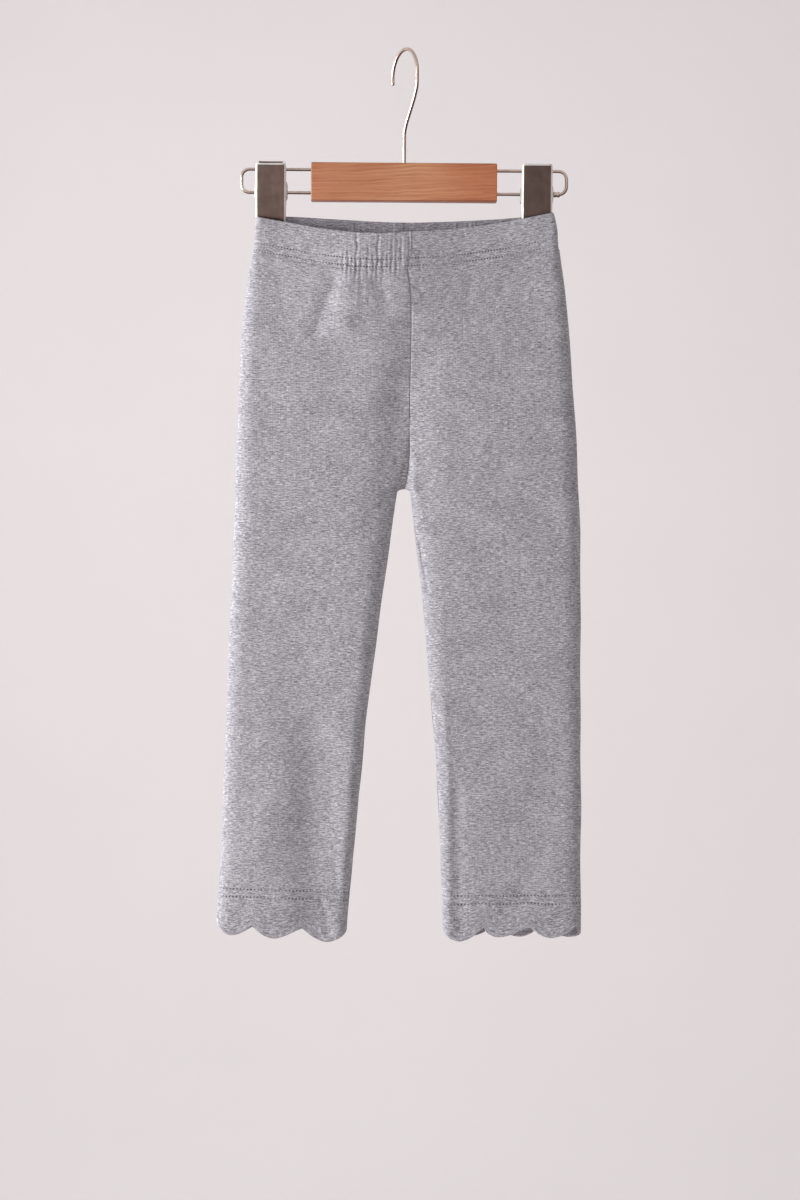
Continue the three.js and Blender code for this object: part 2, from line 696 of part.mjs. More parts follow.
function block() {
  const { length, depth, height, top, bevel } = BLOCK;
  const face = new THREE.Shape([
    new THREE.Vector2(-length / 2 + bevel, -height + bevel),
    new THREE.Vector2(length / 2 - bevel, -height + bevel),
    new THREE.Vector2(length / 2 - bevel, -bevel),
    new THREE.Vector2(-length / 2 + bevel, -bevel),
  ]);
  const body = new THREE.ExtrudeGeometry(face, {
    depth: depth - 2 * bevel,
    bevelSize: bevel,
    bevelThickness: bevel,
    bevelSegments: 1,
  });
  body.translate(0, 0, -depth / 2 + bevel).rotateX(Math.PI / 2).translate(0, 0, top);
  const bore = FRAME.wire + 2 * BORE_GAP;
  const socket = HOOK.wire / 2 + BORE_GAP;
  const hookHole = new THREE.CylinderGeometry(socket, socket, 2 * HOOK_SOCKET_DEPTH, 16);
  hookHole.rotateX(Math.PI / 2).translate(0, 0, top);
  return toGeometry(
    toSolid(body)
      .subtract(toSolid(rodAlongX(0, FRAME.top, length + 10, bore)))
      .subtract(toSolid(rodAlongX(0, FRAME.bottom, length + 10, bore)))
      .subtract(toSolid(hookHole)),
  );
}

// One wire bent into a long loop. Its ends meet inside the crimp.
function frameWire() {
  const { half, top, bottom, bend, wire } = FRAME;
  const path = new THREE.Path();
  path.moveTo(CRIMP.x + SEAM_GAP / 2, bottom);
  path.lineTo(half - bend, bottom);
  path.absarc(half - bend, bottom + bend, bend, -Math.PI / 2, 0);
  path.absarc(half - bend, top - bend, bend, 0, Math.PI / 2);
  path.absarc(-half + bend, top - bend, bend, Math.PI / 2, Math.PI);
  path.absarc(-half + bend, bottom + bend, bend, Math.PI, 1.5 * Math.PI);
  path.lineTo(CRIMP.x - SEAM_GAP / 2, bottom);
  return wireAlong(path.getPoints(3), wire);
}

// A short tube round the frame's lower wire.
function sleeve(x, { length, diameter }) {
  const inner = FRAME.wire / 2 + BORE_GAP;
  const profile = [
    new THREE.Vector2(inner, -length / 2),
    new THREE.Vector2(diameter / 2, -length / 2),
    new THREE.Vector2(diameter / 2, length / 2),
    new THREE.Vector2(inner, length / 2),
    new THREE.Vector2(inner, -length / 2),
  ];
  return new THREE.LatheGeometry(profile, 14).rotateZ(Math.PI / 2).translate(x, 0, FRAME.bottom);
}

function hook() {
  const { radius, wire, stemTop, bowFoot } = HOOK;
  const { stemHandle, bowHandle } = HOOK_BEND;
  const path = new THREE.Path();
  path.moveTo(0, BLOCK.top - HOOK_SOCKET_DEPTH + BORE_GAP);
  path.lineTo(0, stemTop);
  path.bezierCurveTo(
    0,
    stemTop + stemHandle,
    radius + bowHandle.across,
    bowFoot - bowHandle.down,
    radius,
    bowFoot,
  );
  path.absarc(0, wire / 2 - radius, radius, 0, THREE.MathUtils.degToRad(HOOK.tip));
  return wireAlong(path.getPoints(11), wire, HOOK_TURN - Math.PI / 2);
}

// A profile in the upright plane across the hanger, drawn out along X.
function drawnAlongX(points, x, width) {
  const shape = new THREE.Shape(points);
  const solid = new THREE.ExtrudeGeometry(shape, { depth: width, bevelEnabled: false });
  const turned = new THREE.Matrix4().makeBasis(
    new THREE.Vector3(0, 1, 0),
    new THREE.Vector3(0, 0, 1),
    new THREE.Vector3(1, 0, 0),
  );
  return solid.applyMatrix4(turned).translate(x, 0, 0);
}

// One jaw of a spring clip: a bent plate that grips the cloth, with an ear at each side on the lower wire.
function jaw(clip, face) {
  const away = face === "front" ? -1 : 1;
  const rings = JAW_PLATES[face].map((row) => {
    const z = row.z ?? clip[face];
    const edges = [clip.x + clip.out * row.out, clip.x - clip.out * row.in];
    const near = edges.map((x) => new THREE.Vector3(x, away * row.away, z));
    const far = edges.map((x) => new THREE.Vector3(x, away * (row.away + CLIP_SHEET), z));
    return [...near, ...far.reverse()];
  });
  let solid = toSolid(loft(rings));
  const outline = JAW_EAR.map((point) => new THREE.Vector2(away * point.away, point.z));
  const { from, to } = CLIP_EARS[face];
  for (const start of [clip.x + from, clip.x - to]) {
    solid = solid.add(toSolid(drawnAlongX(outline, start, to - from)));
  }
  const bore = rodAlongX(clip.x, FRAME.bottom, 4 * to, FRAME.wire + 2 * BORE_GAP);
  return toGeometry(solid.subtract(toSolid(bore)));
}

// Materials

const jersey = new THREE.MeshStandardMaterial({ color: 0x9c979e, roughness: 0.95, metalness: 0 });
const cherry = new THREE.MeshStandardMaterial({ color: 0xb9724c, roughness: 0.5, metalness: 0 });
const steel = new THREE.MeshStandardMaterial({ color: 0xb8b2ac, roughness: 0.25, metalness: 1 });
const plate = new THREE.MeshStandardMaterial({ color: 0x5f554d, roughness: 0.3, metalness: 1 });

function piece(name, geometry, material) {
  const mesh = new THREE.Mesh(geometry, material);
  mesh.name = name;
  return mesh;
}

// The scene graph

const garment = new THREE.Group();
garment.add(piece("waistband", waistband(), jersey));
for (const leg of Object.keys(LEGS)) {
  garment.add(piece(`${leg}_leg`, legWall(leg), jersey));
  garment.add(piece(`${leg}_hem_facing`, hemFacing(leg), jersey));
}

const hanger = new THREE.Group();
hanger.rotation.y = HANGER_TILT;
hanger.add(piece("hanger_block", block(), cherry));
hanger.add(piece("hanger_hook", hook(), steel));
hanger.add(piece("hanger_frame", frameWire(), steel));
hanger.add(piece("frame_crimp", sleeve(CRIMP.x, CRIMP), steel));
for (const clip of CLIPS) {
  hanger.add(piece(`${clip.name}_clip_front_jaw`, jaw(clip, "front"), plate));
  hanger.add(piece(`${clip.name}_clip_back_jaw`, jaw(clip, "back"), plate));
  hanger.add(piece(`${clip.name}_clip_spring`, sleeve(clip.x, CLIP_SPRING), steel));
}

const part = new THREE.Group();
part.add(garment, hanger);

export default part;
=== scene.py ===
# A child's heather-grey jersey leggings, hung by the back of the waist from a clip hanger.
# Sizes in the tables are in millimetres, in the frame of the CAD model: +Z up, the front faces -Y, and
# the hook rests on a rail at the origin. Right and left are the wearer's, so the right leg is at -X.
import math

import bmesh
import bpy
import numpy as np
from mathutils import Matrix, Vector


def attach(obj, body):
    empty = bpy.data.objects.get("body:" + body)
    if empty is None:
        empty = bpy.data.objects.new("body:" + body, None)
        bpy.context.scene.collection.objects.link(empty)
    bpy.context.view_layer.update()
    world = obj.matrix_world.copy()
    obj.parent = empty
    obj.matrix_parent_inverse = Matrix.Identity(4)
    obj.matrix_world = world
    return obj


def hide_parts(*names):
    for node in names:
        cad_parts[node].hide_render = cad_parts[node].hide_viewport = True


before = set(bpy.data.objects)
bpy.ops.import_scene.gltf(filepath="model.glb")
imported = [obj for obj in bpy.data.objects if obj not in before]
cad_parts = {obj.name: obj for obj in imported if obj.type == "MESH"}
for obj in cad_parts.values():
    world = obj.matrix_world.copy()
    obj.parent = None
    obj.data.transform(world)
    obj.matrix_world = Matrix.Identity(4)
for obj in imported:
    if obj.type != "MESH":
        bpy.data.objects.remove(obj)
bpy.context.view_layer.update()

MM = 0.001

# Cloth sizes and the heights of the garment's landmarks
CLOTH = 1.2
FACING_WALL = 1.0
SEAM_GAP = 0.3
SEAM_LINE = 0.06
BAND_HEIGHT = 32.0
BAND_WALL = 2.2
WAIST_Z = -143.0
LEG_TOP_Z = WAIST_Z - BAND_HEIGHT - SEAM_GAP
LEVEL_Z = -285.0
CLOSE_START_Z = -310.0
CLOSE_POWER = 1.6
CROTCH_Z = -377.0
FACING_TOP_Z = -719.0
HEM_Z = -752.0
ARCH_HEIGHT = 3.0

# The outline and depth of the garment: z, right edge, left edge, front, back, roll width, squareness.
BODY = [
    (-140, -128.2, 127.6, -11.2, 1.1, 6.5, 3),
    (-158, -128.6, 130.8, -11.8, 1.1, 6.5, 3),
    (-172, -130.2, 132.2, -12.4, 1.7, 8, 2.8),
    (-184, -133.4, 133.6, -13, 2.4, 10, 2.6),
    (-214, -137.1, 137.5, -13.8, 4, 12, 2.4),
    (-257, -141.3, 141.8, -14, 5.5, 14, 2.3),
    (-343, -144.8, 147.7, -13, 7, 16, 2.3),
    (-429, -147.6, 150.6, -12, 7, 16, 2.3),
    (-515, -151.7, 150.9, -11, 6, 16, 2.3),
    (-601, -154.7, 150.9, -10, 5.5, 15, 2.3),
    (-687, -158.4, 151, -9.5, 5, 14, 2.3),
    (-752, -162.6, 151, -9, 5, 12, 2.3),
]
# The centre seams: z, front, back.
CENTRE_SEAM = [
    (-143, 4.6, -1.7),
    (-165, 4.4, -1.5),
    (-173, 2.4, -1.4),
    (-186, 3.4, -1.2),
    (-202, 4.9, -1),
    (-300, 4.3, 0.2),
    (-350, 3.4, 0.8),
    (-368, 1.4, 0),
    (-377, -0.9, -0.9),
]
# The inner edge of each leg: z, right, left.
INNER_EDGE = [
    (-377, -6.6, 4.2),
    (-429, -13.8, 9.9),
    (-472, -19.8, 15),
    (-558, -31.6, 22.2),
    (-644, -40.2, 28.6),
    (-721, -47.3, 31.6),
    (-752, -50, 31.8),
]
# The width over which the inner edge rolls in: z, right front, left front, both backs.
INNER_ROLL = [
    (-310, 6, 3, 8),
    (-345, 11, 4, 15),
    (-377, 17, 5.5, 24),
    (-400, 19, 13, 24),
    (-440, 18, 20, 22),
    (-520, 14, 16, 20),
    (-600, 12, 12, 18),
    (-752, 10, 7, 12),
]
# The wide dip of both faces towards the centre seams: z, depth.
CENTRE_DIP_WIDTH = 38.0
CENTRE_DIP = [(-200, 0), (-257, 1.2), (-343, 3), (-377, 3.5), (-430, 1.5), (-480, 0)]
# The waist's upper edge: x, z.
FRONT_EDGE = [
    (-130, -143.2),
    (-102, -148.2),
    (-63, -155.1),
    (-30, -158.3),
    (5, -157.1),
    (40, -154.5),
    (82, -148.9),
    (131, -139.3),
]
BACK_EDGE = [
    (-130, -143.2),
    (-101, -142.4),
    (-65, -144.4),
    (0, -147.5),
    (40, -146.6),
    (95, -143.4),
    (131, -139.3),
]
# Soft folds of each face: from x z, to x z, width, rise.
FOLDS = {
    "front": [
        (-22, -143, -22, -195, 50, 6),
        (-61, -190, -76, -238, 8, -1.6),
        (-49, -185, -50, -232, 9, 1.5),
        (-20, -185, -16, -215, 8, -1.2),
        (-88, -480, -84, -560, 22, -1),
        (-80, -590, -78, -745, 16, -3.2),
        (-118, -600, -128, -740, 22, 1.6),
        (44, -640, 47, -745, 6, -1.2),
        (92, -735, 118, -690, 10, -0.9),
    ],
    "back": [
        (40, -185, 46, -235, 10, -1.5),
        (-30, -190, -38, -225, 9, -1.2),
        (-96, -560, -104, -740, 18, -2.4),
        (96, -540, 90, -735, 20, -2),
    ],
}
# Small creases of each face, only in the looks: from x z, to x z, width, rise.
CREASES = {
    "front": [
        (-63, -197, -76, -236, 2.6, -0.35),
        (-55, -188, -57, -214, 2.2, 0.35),
        (-40, -190, -41, -212, 2.2, 0.35),
        (-33, -186, -34, -202, 2.0, 0.3),
        (-13, -186, -12, -206, 2.2, 0.3),
        (10, -186, 16, -204, 2.4, -0.3),
        (60, -186, 52, -212, 3.5, -0.3),
        (96, -178, 84, -204, 4, -0.35),
        (-112, -182, -104, -212, 4, -0.35),
        (4, -225, 4, -330, 13, -1.2),
        (-4, -300, -6, -366, 15, -1.5),
        (1.5, -358, -1.5, -377, 4, -2.6),
        (8.5, -352, 8, -376, 3.4, 0.8),
        (12, -420, 19.6, -466, 1.6, -1.1),
        (-62, -600, -60, -752, 13, -1.8),
        (-8, -352, -3, -372, 2.4, -0.6),
        (8, -348, 5, -372, 2.2, -0.35),
        (-14, -386, -34, -406, 3, -0.35),
        (12, -392, 32, -414, 3, -0.35),
        (-60, -694, -54, -742, 3.4, -0.5),
        (-72, -726, -66, -746, 2.6, -0.6),
        (-130, -706, -138, -744, 4, -0.4),
        (34, -560, 38, -640, 3, 0.4),
        (118, -716, 130, -742, 3.4, -0.4),
    ],
    "back": [
        (-12, -356, -4, -374, 3, -0.6),
        (14, -352, 5, -374, 3, -0.6),
        (-20, -384, -46, -402, 4, -0.5),
        (20, -386, 48, -406, 4, -0.5),
        (30, -186, 33, -214, 2.6, 0.4),
        (52, -186, 56, -220, 2.8, -0.4),
        (-20, -186, -22, -208, 2.4, 0.35),
        (104, -178, 92, -206, 4, -0.35),
        (-108, -180, -98, -210, 4, -0.35),
        (-70, -700, -62, -742, 4, -0.5),
        (66, -706, 58, -742, 4, -0.4),
    ],
}
# The front's puckers, where the elastic draws the cloth in: x, depth, and how far below the waist's
# upper edge each begins and ends.
PUCKERS = [
    (-56.5, 0.35, 20, 38),
    (-52.8, 0.9, 16, 44),
    (-48.6, 1.1, 14, 56),
    (-45.2, 1.0, 19, 40),
    (-41.7, 1.5, 0, 50),
    (-37.8, 0.9, 20, 62),
    (-31.8, 1.0, 9, 44),
    (-26.9, 0.8, 18, 54),
    (-23.5, 1.3, 0, 46),
    (-18.7, 0.8, 16, 60),
    (-15.0, 0.5, 5, 36),
    (-11.4, 1.0, 4, 44),
    (-7.4, 0.8, 2, 52),
    (-3.4, 0.8, 7, 36),
    (13.0, 0.5, 16, 42),
    (24.0, 0.2, 20, 40),
    (62.0, 0.3, 20, 44),
    (116.0, 0.3, 12, 40),
]
# The back's puckers on each side: from x, to x, spacing, depth.
BACK_PUCKERS = {"left": (17.6, 66.0, 4.4, 1.0), "right": (-48.4, -13.2, 4.4, 0.7)}
# The shape of a pucker: width of its valley, width and height of the lips beside it, how far down it is
# deepest and how far that reaches, its share of that depth elsewhere and the rest of it.
PUCKER = dict(valley=1.2, lips=2.5, lip_height=0.42, held=28, held_reach=4.5, slack=0.62, pull=0.38)
# The slow unevenness of hanging cloth: number of waves, their lengths round and down the cloth, height.
WOBBLE = dict(waves=9, long=(45, 130), tall=(60, 210), height=0.11)
# How the cloth turns in at a seam: depth and width of the narrow part and of the wide one.
SEAM_DENTS = [(0.4, 0.6), (0.2, 2.4)]
# The most that a pucker or crease sinks a face, as a share of its distance from the middle plane.
SINK_LIMIT = 0.6

# Each leg: side, opening at the hem, slope of the hem, lift of its back, lift at the outer fold, and the
# heights of the two rows of hem stitches.
LEGS = {
    "right": dict(
        side=-1, opening=0.5, slope=0.042, lift=11.0, fold_lift=4.5, hem_rows=(-720.8, -727.2)
    ),
    "left": dict(
        side=1, opening=0.0, slope=0, lift=0.0, fold_lift=0.0, hem_rows=(-725.4, -731.6)
    ),
}
FOLD_LIFT_POWER = 5
# How far each inseam has turned towards the front: z, turn.
SEAM_TURN = {
    "right": [(-377, 0), (-752, 0.4)],
    "left": [(-377, 0), (-412, 1.5), (-430, 5.4), (-446, 4.6), (-470, 0.4), (-520, -0.4), (-752, -0.4)],
}
# The scallops from the inseam round the front and the back: share of the way round where each ends,
# depth, lean of its lowest point.
SCALLOP_POWER = 1.7
SCALLOPS = {
    "right": [
        (0.174, 10.9, 1.1),
        (0.3465, 9.5, 1.27),
        (0.4935, 9.2, 1.1),
        (0.664, 9.6, 1.25),
        (0.832, 9.6, 1.25),
        (1, 9.6, 1.25),
    ],
    "left": [
        (0.1595, 12.2, 0.94),
        (0.3185, 8.5, 0.6),
        (0.4775, 9.2, 0.84),
        (0.659, 9.7, 0.8),
        (0.822, 9.4, 0.76),
        (1, 9, 0.76),
    ],
}

# Stitches
BAND_STITCH_ROWS = (22.9, 29.3)
BAND_PITCH = 2.5
HEM_PITCH = 3.0
STITCH_GROOVE = 0.2
THREAD_RADIUS = 0.2
# Where each cloth starts in the pattern of its jersey
LEFT_LEG_UV = 350 * HEM_PITCH
FACING_UV = 400
BAND_UV = 840 * BAND_PITCH

# The rows of a leg's cloth that are hidden under the band: z, how far they are set in.
HIDDEN_ROWS = [(-171.5, 1.1), (-174.6, 0.9)]
# The leg's lower edge is turned in over the facing, round this radius and up by this much.
EDGE_RADIUS = 0.75
EDGE_TURN_UP = 2.2
FACING_EDGE_Z = FACING_TOP_Z + 1.5
LEG_COLUMNS = 330
LEG_ROW_STEP = 2.35
MIDDLE_ROWS_END = -716
FINE_ROWS_START = -716.6
# The shares of the way round each leg that lie in the gathers.
GATHERED = {"right": (0.0, 0.205), "left": (0.76, 0.95)}
BAND_FOLD = 9
# How far the casing puffs out: distance down, puff.
BAND_PUFF = [(0, 0), (6, 0.35), (14, 0.5), (21, 0.35), (25, 0), (28, 0.15), (30.8, 0), (32.3, 0)]

# Hanger
HANGER_TILT = math.radians(0.43)
BLOCK = dict(length=159.8, depth=12.5, height=32.9, top=-96.8, edge=1.1)
FRAME = dict(half=139.7, wire=2.8, top=-102.5, bottom=-122.5, bend=6.8)
CRIMP = dict(x=131.2, length=5.6, diameter=4.8)
# Half of the crimp, from its end to the pinch at its middle: share along it, share of its radius.
CRIMP_PROFILE = [(-0.5, 0.62), (-0.5, 0.86), (-0.44, 0.98), (-0.2, 1.0), (-0.12, 0.9), (0, 0.84)]
COIL = dict(turns=10, length=13.2, radius=2.45, wire_radius=0.55)
HOOK = dict(wire=3.0, radius=22.0, turn=28.5, stem_top=-72.0, bow_foot=-30.0, tip=197.0)
HOOK_HANDLES = dict(stem=10.0, across=-1.2, down=14.0)
HOOK_SOCKET_DEPTH = 3.4
BORE_GAP = 0.35
CLIPS = [
    dict(name="right", x=-114.3, front=-98.9, back=-94.1),
    dict(name="left", x=114.3, front=-98.0, back=-95.8),
]


# Short tables as smooth curves


def curve_through(table, column=1):
    """A smooth curve through one column of a table, held level beyond its ends."""
    rows = sorted(table)
    places = np.array([row[0] for row in rows], float)
    values = np.array([row[column] for row in rows], float)
    secants = np.diff(values) / np.diff(places)
    slopes = np.concatenate([secants[:1], (secants[1:] + secants[:-1]) / 2, secants[-1:]])

    def at(place):
        place = np.clip(np.asarray(place, float), places[0], places[-1])
        k = np.clip(np.searchsorted(places, place, side="right") - 1, 0, len(places) - 2)
        step = places[k + 1] - places[k]
        t = (place - places[k]) / step
        return (
            values[k] * (2 * t**3 - 3 * t**2 + 1)
            + values[k + 1] * (3 * t**2 - 2 * t**3)
            + slopes[k] * step * (t**3 - 2 * t**2 + t)
            + slopes[k + 1] * step * (t**3 - t**2)
        )

    return at


EDGE_AT = {"right": curve_through(BODY, 1), "left": curve_through(BODY, 2)}
FACE_AT = {"front": curve_through(BODY, 3), "back": curve_through(BODY, 4)}
ROLL_AT = curve_through(BODY, 5)
SQUARE_AT = curve_through(BODY, 6)
CENTRE_AT = {"front": curve_through(CENTRE_SEAM, 1), "back": curve_through(CENTRE_SEAM, 2)}
INNER_AT = {"right": curve_through(INNER_EDGE, 1), "left": curve_through(INNER_EDGE, 2)}
INNER_ROLL_AT = {
    "right": curve_through(INNER_ROLL, 1),
    "left": curve_through(INNER_ROLL, 2),
    "back": curve_through(INNER_ROLL, 3),
}
DIP_AT = curve_through(CENTRE_DIP)
WAIST_EDGE_AT = {"front": curve_through(FRONT_EDGE), "back": curve_through(BACK_EDGE)}
TURN_AT = {leg: curve_through(SEAM_TURN[leg]) for leg in LEGS}
PUFF_AT = curve_through(BAND_PUFF)


def share_down(z, start, end):
    return np.clip((start - z) / (start - end), 0, 1)


def smooth(value, start, end):
    t = np.clip((value - start) / (end - start), 0, 1)
    return t * t * (3 - 2 * t)


def bell(distance, width):
    return np.exp(-((distance / width) ** 2))


def running_total(steps):
    return np.concatenate([[0], np.cumsum(steps)])


# The garment's surface


def inner_x(leg, z, face):
    side = LEGS[leg]["side"]
    if z > CROTCH_Z:
        return float(CENTRE_AT[face](z)) + side * SEAM_LINE / 2
    line = float(INNER_AT[leg](z))
    top = float(CENTRE_AT["front"](CROTCH_Z)) + side * SEAM_LINE / 2
    arch = 1 - share_down(z, CROTCH_Z, CROTCH_Z - ARCH_HEIGHT)
    return line + (top - line) * (1 - math.sqrt(1 - arch**2))


def roll_shape(distance, width, square):
    inside = np.clip(1 - distance / width, 0, 1)
    return (1 - inside**square) ** (1 / square)


def run_rise(runs, x, z):
    """How far the folds or creases of a face lift it at a place."""
    rise = np.zeros_like(x)
    for x0, z0, x1, z1, width, height in runs:
        dx, dz = x1 - x0, z1 - z0
        t = np.clip(((x - x0) * dx + (z - z0) * dz) / (dx * dx + dz * dz), 0, 1)
        away = np.hypot(x - x0 - t * dx, z - z0 - t * dz)
        rise += height * bell(away, width)
    return rise


def face_points(leg, z, face, from_inner):
    """x and y of the outer surface on one face, at distances in from the leg's inner edge."""
    side, opening = LEGS[leg]["side"], LEGS[leg]["opening"]
    inner = inner_x(leg, z, face)
    width = abs(float(EDGE_AT[leg](z)) - inner)
    closing = share_down(z, CLOSE_START_Z, CROTCH_Z) ** CLOSE_POWER
    leg_share = share_down(z, CROTCH_Z, HEM_Z)
    x = inner + side * from_inner
    outer = roll_shape(width - from_inner, float(ROLL_AT(z)), float(SQUARE_AT(z)))
    inner_roll = float(INNER_ROLL_AT[leg if face == "front" else "back"](z))
    inner_part = 1 - closing * (1 - roll_shape(from_inner, inner_roll, 2))
    front, back = float(FACE_AT["front"](z)), float(FACE_AT["back"](z))
    half = (back - front) / 2 * (1 + opening * leg_share**2)
    dip_share = np.minimum(from_inner / CENTRE_DIP_WIDTH, 1)
    dip = float(DIP_AT(z)) * (1 + np.cos(np.pi * dip_share)) / 2
    rise = run_rise(FOLDS[face], x, np.full_like(x, z))
    depth = (half + rise - dip) * outer * inner_part
    y = (front + back) / 2 + (-depth if face == "front" else depth)
    return x, y


def face_width(leg, z, face):
    return abs(float(EDGE_AT[leg](z)) - inner_x(leg, z, face))


def surface_line(z, runs):
    """x and y of a level line over runs of (leg, face, distances from its inner edge), and whether each
    point is in front."""
    found = [face_points(leg, z, face, distances) for leg, face, distances in runs]
    x, y = (np.concatenate([points[i] for points in found]) for i in (0, 1))
    is_front = np.concatenate([np.full(len(run[2]), run[1] == "front") for run in runs])
    return x, y, is_front


def level_normals(x, y, side, closed):
    if closed:
        ax, ay = np.roll(x, -1) - np.roll(x, 1), np.roll(y, -1) - np.roll(y, 1)
    else:
        ax, ay = np.gradient(x), np.gradient(y)
    length = np.maximum(np.hypot(ax, ay), 1e-9)
    return side * ay / length, -side * ax / length


def wobble(u, z, seed):
    """How far the cloth's slow unevenness lifts it, at a distance round it and a height."""
    chance = np.random.default_rng(seed)
    total = np.zeros_like(u)
    for _ in range(WOBBLE["waves"]):
        long, tall = chance.uniform(*WOBBLE["long"]), chance.uniform(*WOBBLE["tall"])
        turn = chance.uniform(0, 2 * np.pi)
        sign = chance.choice([-1, 1])
        total += np.sin(2 * np.pi * (u / long + sign * z / tall) + turn)
    return total * WOBBLE["height"]


def back_puckers():
    chance = np.random.default_rng(5)
    rows = []
    for first, last, spacing, depth in BACK_PUCKERS.values():
        for x in np.arange(first, last, spacing):
            jitter, strength = chance.uniform(-0.9, 0.9), chance.uniform(0.6, 1.25)
            start, end = chance.uniform(0, 9), chance.uniform(44, 60)
            rows.append((x + jitter, depth * strength, start, end))
    return rows


ALL_PUCKERS = {"front": PUCKERS, "back": back_puckers()}


def pucker_rise(face, x, down):
    """The drawn-in cloth: valleys with a rounded lip on each side, deepest between the stitch rows."""
    rise = np.zeros_like(x)
    first = 0 if face == "front" else len(PUCKERS)
    for k, (place, depth, start, end) in enumerate(ALL_PUCKERS[face], first):
        below = down - PUCKER["held"]
        drift = 0.035 * below * np.sign(place) + 0.45 * np.sin(0.33 * down + 2.4 * k)
        away = x - place - drift
        length = smooth(down, start - 4, start + 6) * (1 - smooth(down, 31, end))
        held = PUCKER["slack"] + PUCKER["pull"] * bell(below, PUCKER["held_reach"])
        valley = bell(away, PUCKER["valley"]) - PUCKER["lip_height"] * bell(away, PUCKER["lips"])
        rise -= depth * length * held * valley
    return rise


def groove(place, rows, width=0.75):
    return -STITCH_GROOVE * sum(bell(place - row, width) for row in rows)


def scallop_drop(leg, share):
    """How far the hem's edge drops below its notches, for shares of the way round from the inseam."""
    ends = np.array([row[0] for row in SCALLOPS[leg]])
    starts = np.concatenate([[0], ends[:-1]])
    k = np.minimum(np.searchsorted(ends, share, side="right"), len(ends) - 1)
    depth, lean = (np.array([row[i] for row in SCALLOPS[leg]])[k] for i in (1, 2))
    across = 2 * ((share - starts[k]) / (ends[k] - starts[k])) ** lean - 1
    return depth * (1 - np.abs(across) ** SCALLOP_POWER)


def waist_shift(x, is_front):
    front, back = WAIST_EDGE_AT["front"](x), WAIST_EDGE_AT["back"](x)
    return np.where(is_front, front, back) - WAIST_Z


PATH_SHARES = (1 - np.cos(np.pi * np.linspace(0, 1, 301))) / 2


def leg_row(leg, z, shares, inset=0.0):
    """One level line of a leg: points, level normals and the distances along the panel."""
    values = LEGS[leg]
    side, ring = values["side"], z <= CROTCH_Z
    runs = []
    for face, steps in (("front", PATH_SHARES), ("back", PATH_SHARES[::-1][1:])):
        runs.append((leg, face, steps * face_width(leg, z, face)))
    x, y, is_front = surface_line(z, runs)
    nx, ny = level_normals(x, y, side, ring)
    lengths = running_total(np.hypot(np.diff(x), np.diff(y)))
    total = lengths[-1]
    trim = SEAM_LINE / 2 if ring else 0
    start = float(TURN_AT[leg](z)) + trim
    along = start + shares * (total - 2 * trim)
    along = along % total if ring else np.minimum(along, total)
    px, py = np.interp(along, lengths, x), np.interp(along, lengths, y)
    pnx, pny = np.interp(along, lengths, nx), np.interp(along, lengths, ny)
    front_side = np.interp(along, lengths, is_front.astype(float)) > 0.5
    flat = shares * total

    down = WAIST_Z - z
    rise = wobble(flat, z, 11 + side) * smooth(down, 0, BAND_HEIGHT) + groove(z, values["hem_rows"])
    # Puckers and creases lift or sink a face along Y, and sink it less where both faces are close.
    room = SINK_LIMIT * np.abs(py - float(FACE_AT["front"](z) + FACE_AT["back"](z)) / 2)
    level = np.full_like(px, z)
    for face, way, here in (("front", -1, front_side), ("back", 1, ~front_side)):
        part = pucker_rise(face, px, WAIST_Z - level) + run_rise(CREASES[face], px, level)
        part = np.maximum(part, -room) * smooth(down, 0, BAND_HEIGHT)
        py = py + np.where(here, way * part, 0)
    # The cloth turns in at the seams, but not where they run along a fold.
    for distance in (flat, total - flat):
        turned = sum(depth * bell(distance, width) for depth, width in SEAM_DENTS)
        rise -= np.abs(pny) ** 2 * turned
    reach = rise - inset
    dip = 1 - share_down(z, LEG_TOP_Z, LEVEL_Z)
    leg_share = share_down(z, CROTCH_Z, HEM_Z)
    hem_share = share_down(z, FACING_TOP_Z, HEM_Z) ** 2
    inner, outer = inner_x(leg, min(z, CROTCH_Z), "front"), float(EDGE_AT[leg](z))
    middle, half_width = (inner + outer) / 2, abs(outer - inner) / 2
    to_fold = np.clip(side * (px - middle) / half_width, 0, 1) ** FOLD_LIFT_POWER
    height = (
        z
        + dip * waist_shift(px, front_side)
        - values["slope"] * (px - middle) * leg_share
        + values["lift"] * np.maximum(pny, 0) * leg_share
        + values["fold_lift"] * to_fold * hem_share
        - scallop_drop(leg, shares) * hem_share
    )
    points = np.stack([px + pnx * reach, py + pny * reach, height], -1)
    normals = np.stack([pnx, pny, np.zeros_like(pnx)], -1)
    return points, normals, flat


def leg_shares(leg):
    """Places across a leg's panel, closer together at the seams and in the gathers."""
    first, last = GATHERED[leg]
    ends = np.linspace(0, 1, 4001)
    gathered = smooth(ends, first - 0.02, first) * (1 - smooth(ends, last, last + 0.02))
    density = 1 + 0.75 * gathered
    density += 1.5 * (bell(ends, 0.006) + bell(1 - ends, 0.006))
    reach = running_total((density[1:] + density[:-1]) / 2)
    return np.interp(np.linspace(0, reach[-1], LEG_COLUMNS), reach, ends)


# Meshes


def new_piece(name, mesh, material):
    mesh.materials.append(material)
    piece = bpy.data.objects.new(name, mesh)
    bpy.context.scene.collection.objects.link(piece)
    return piece


def grid_faces(rows, columns, spans):
    """The faces of a grid of points, rows first, and the row and the column of each."""
    r, c = np.meshgrid(np.arange(rows - 1), np.arange(spans), indexing="ij")
    r, c = r.ravel(), c.ravel()
    d = (c + 1) % columns
    corners = [r * columns + c, r * columns + d, (r + 1) * columns + d, (r + 1) * columns + c]
    return np.stack(corners, -1), r, c


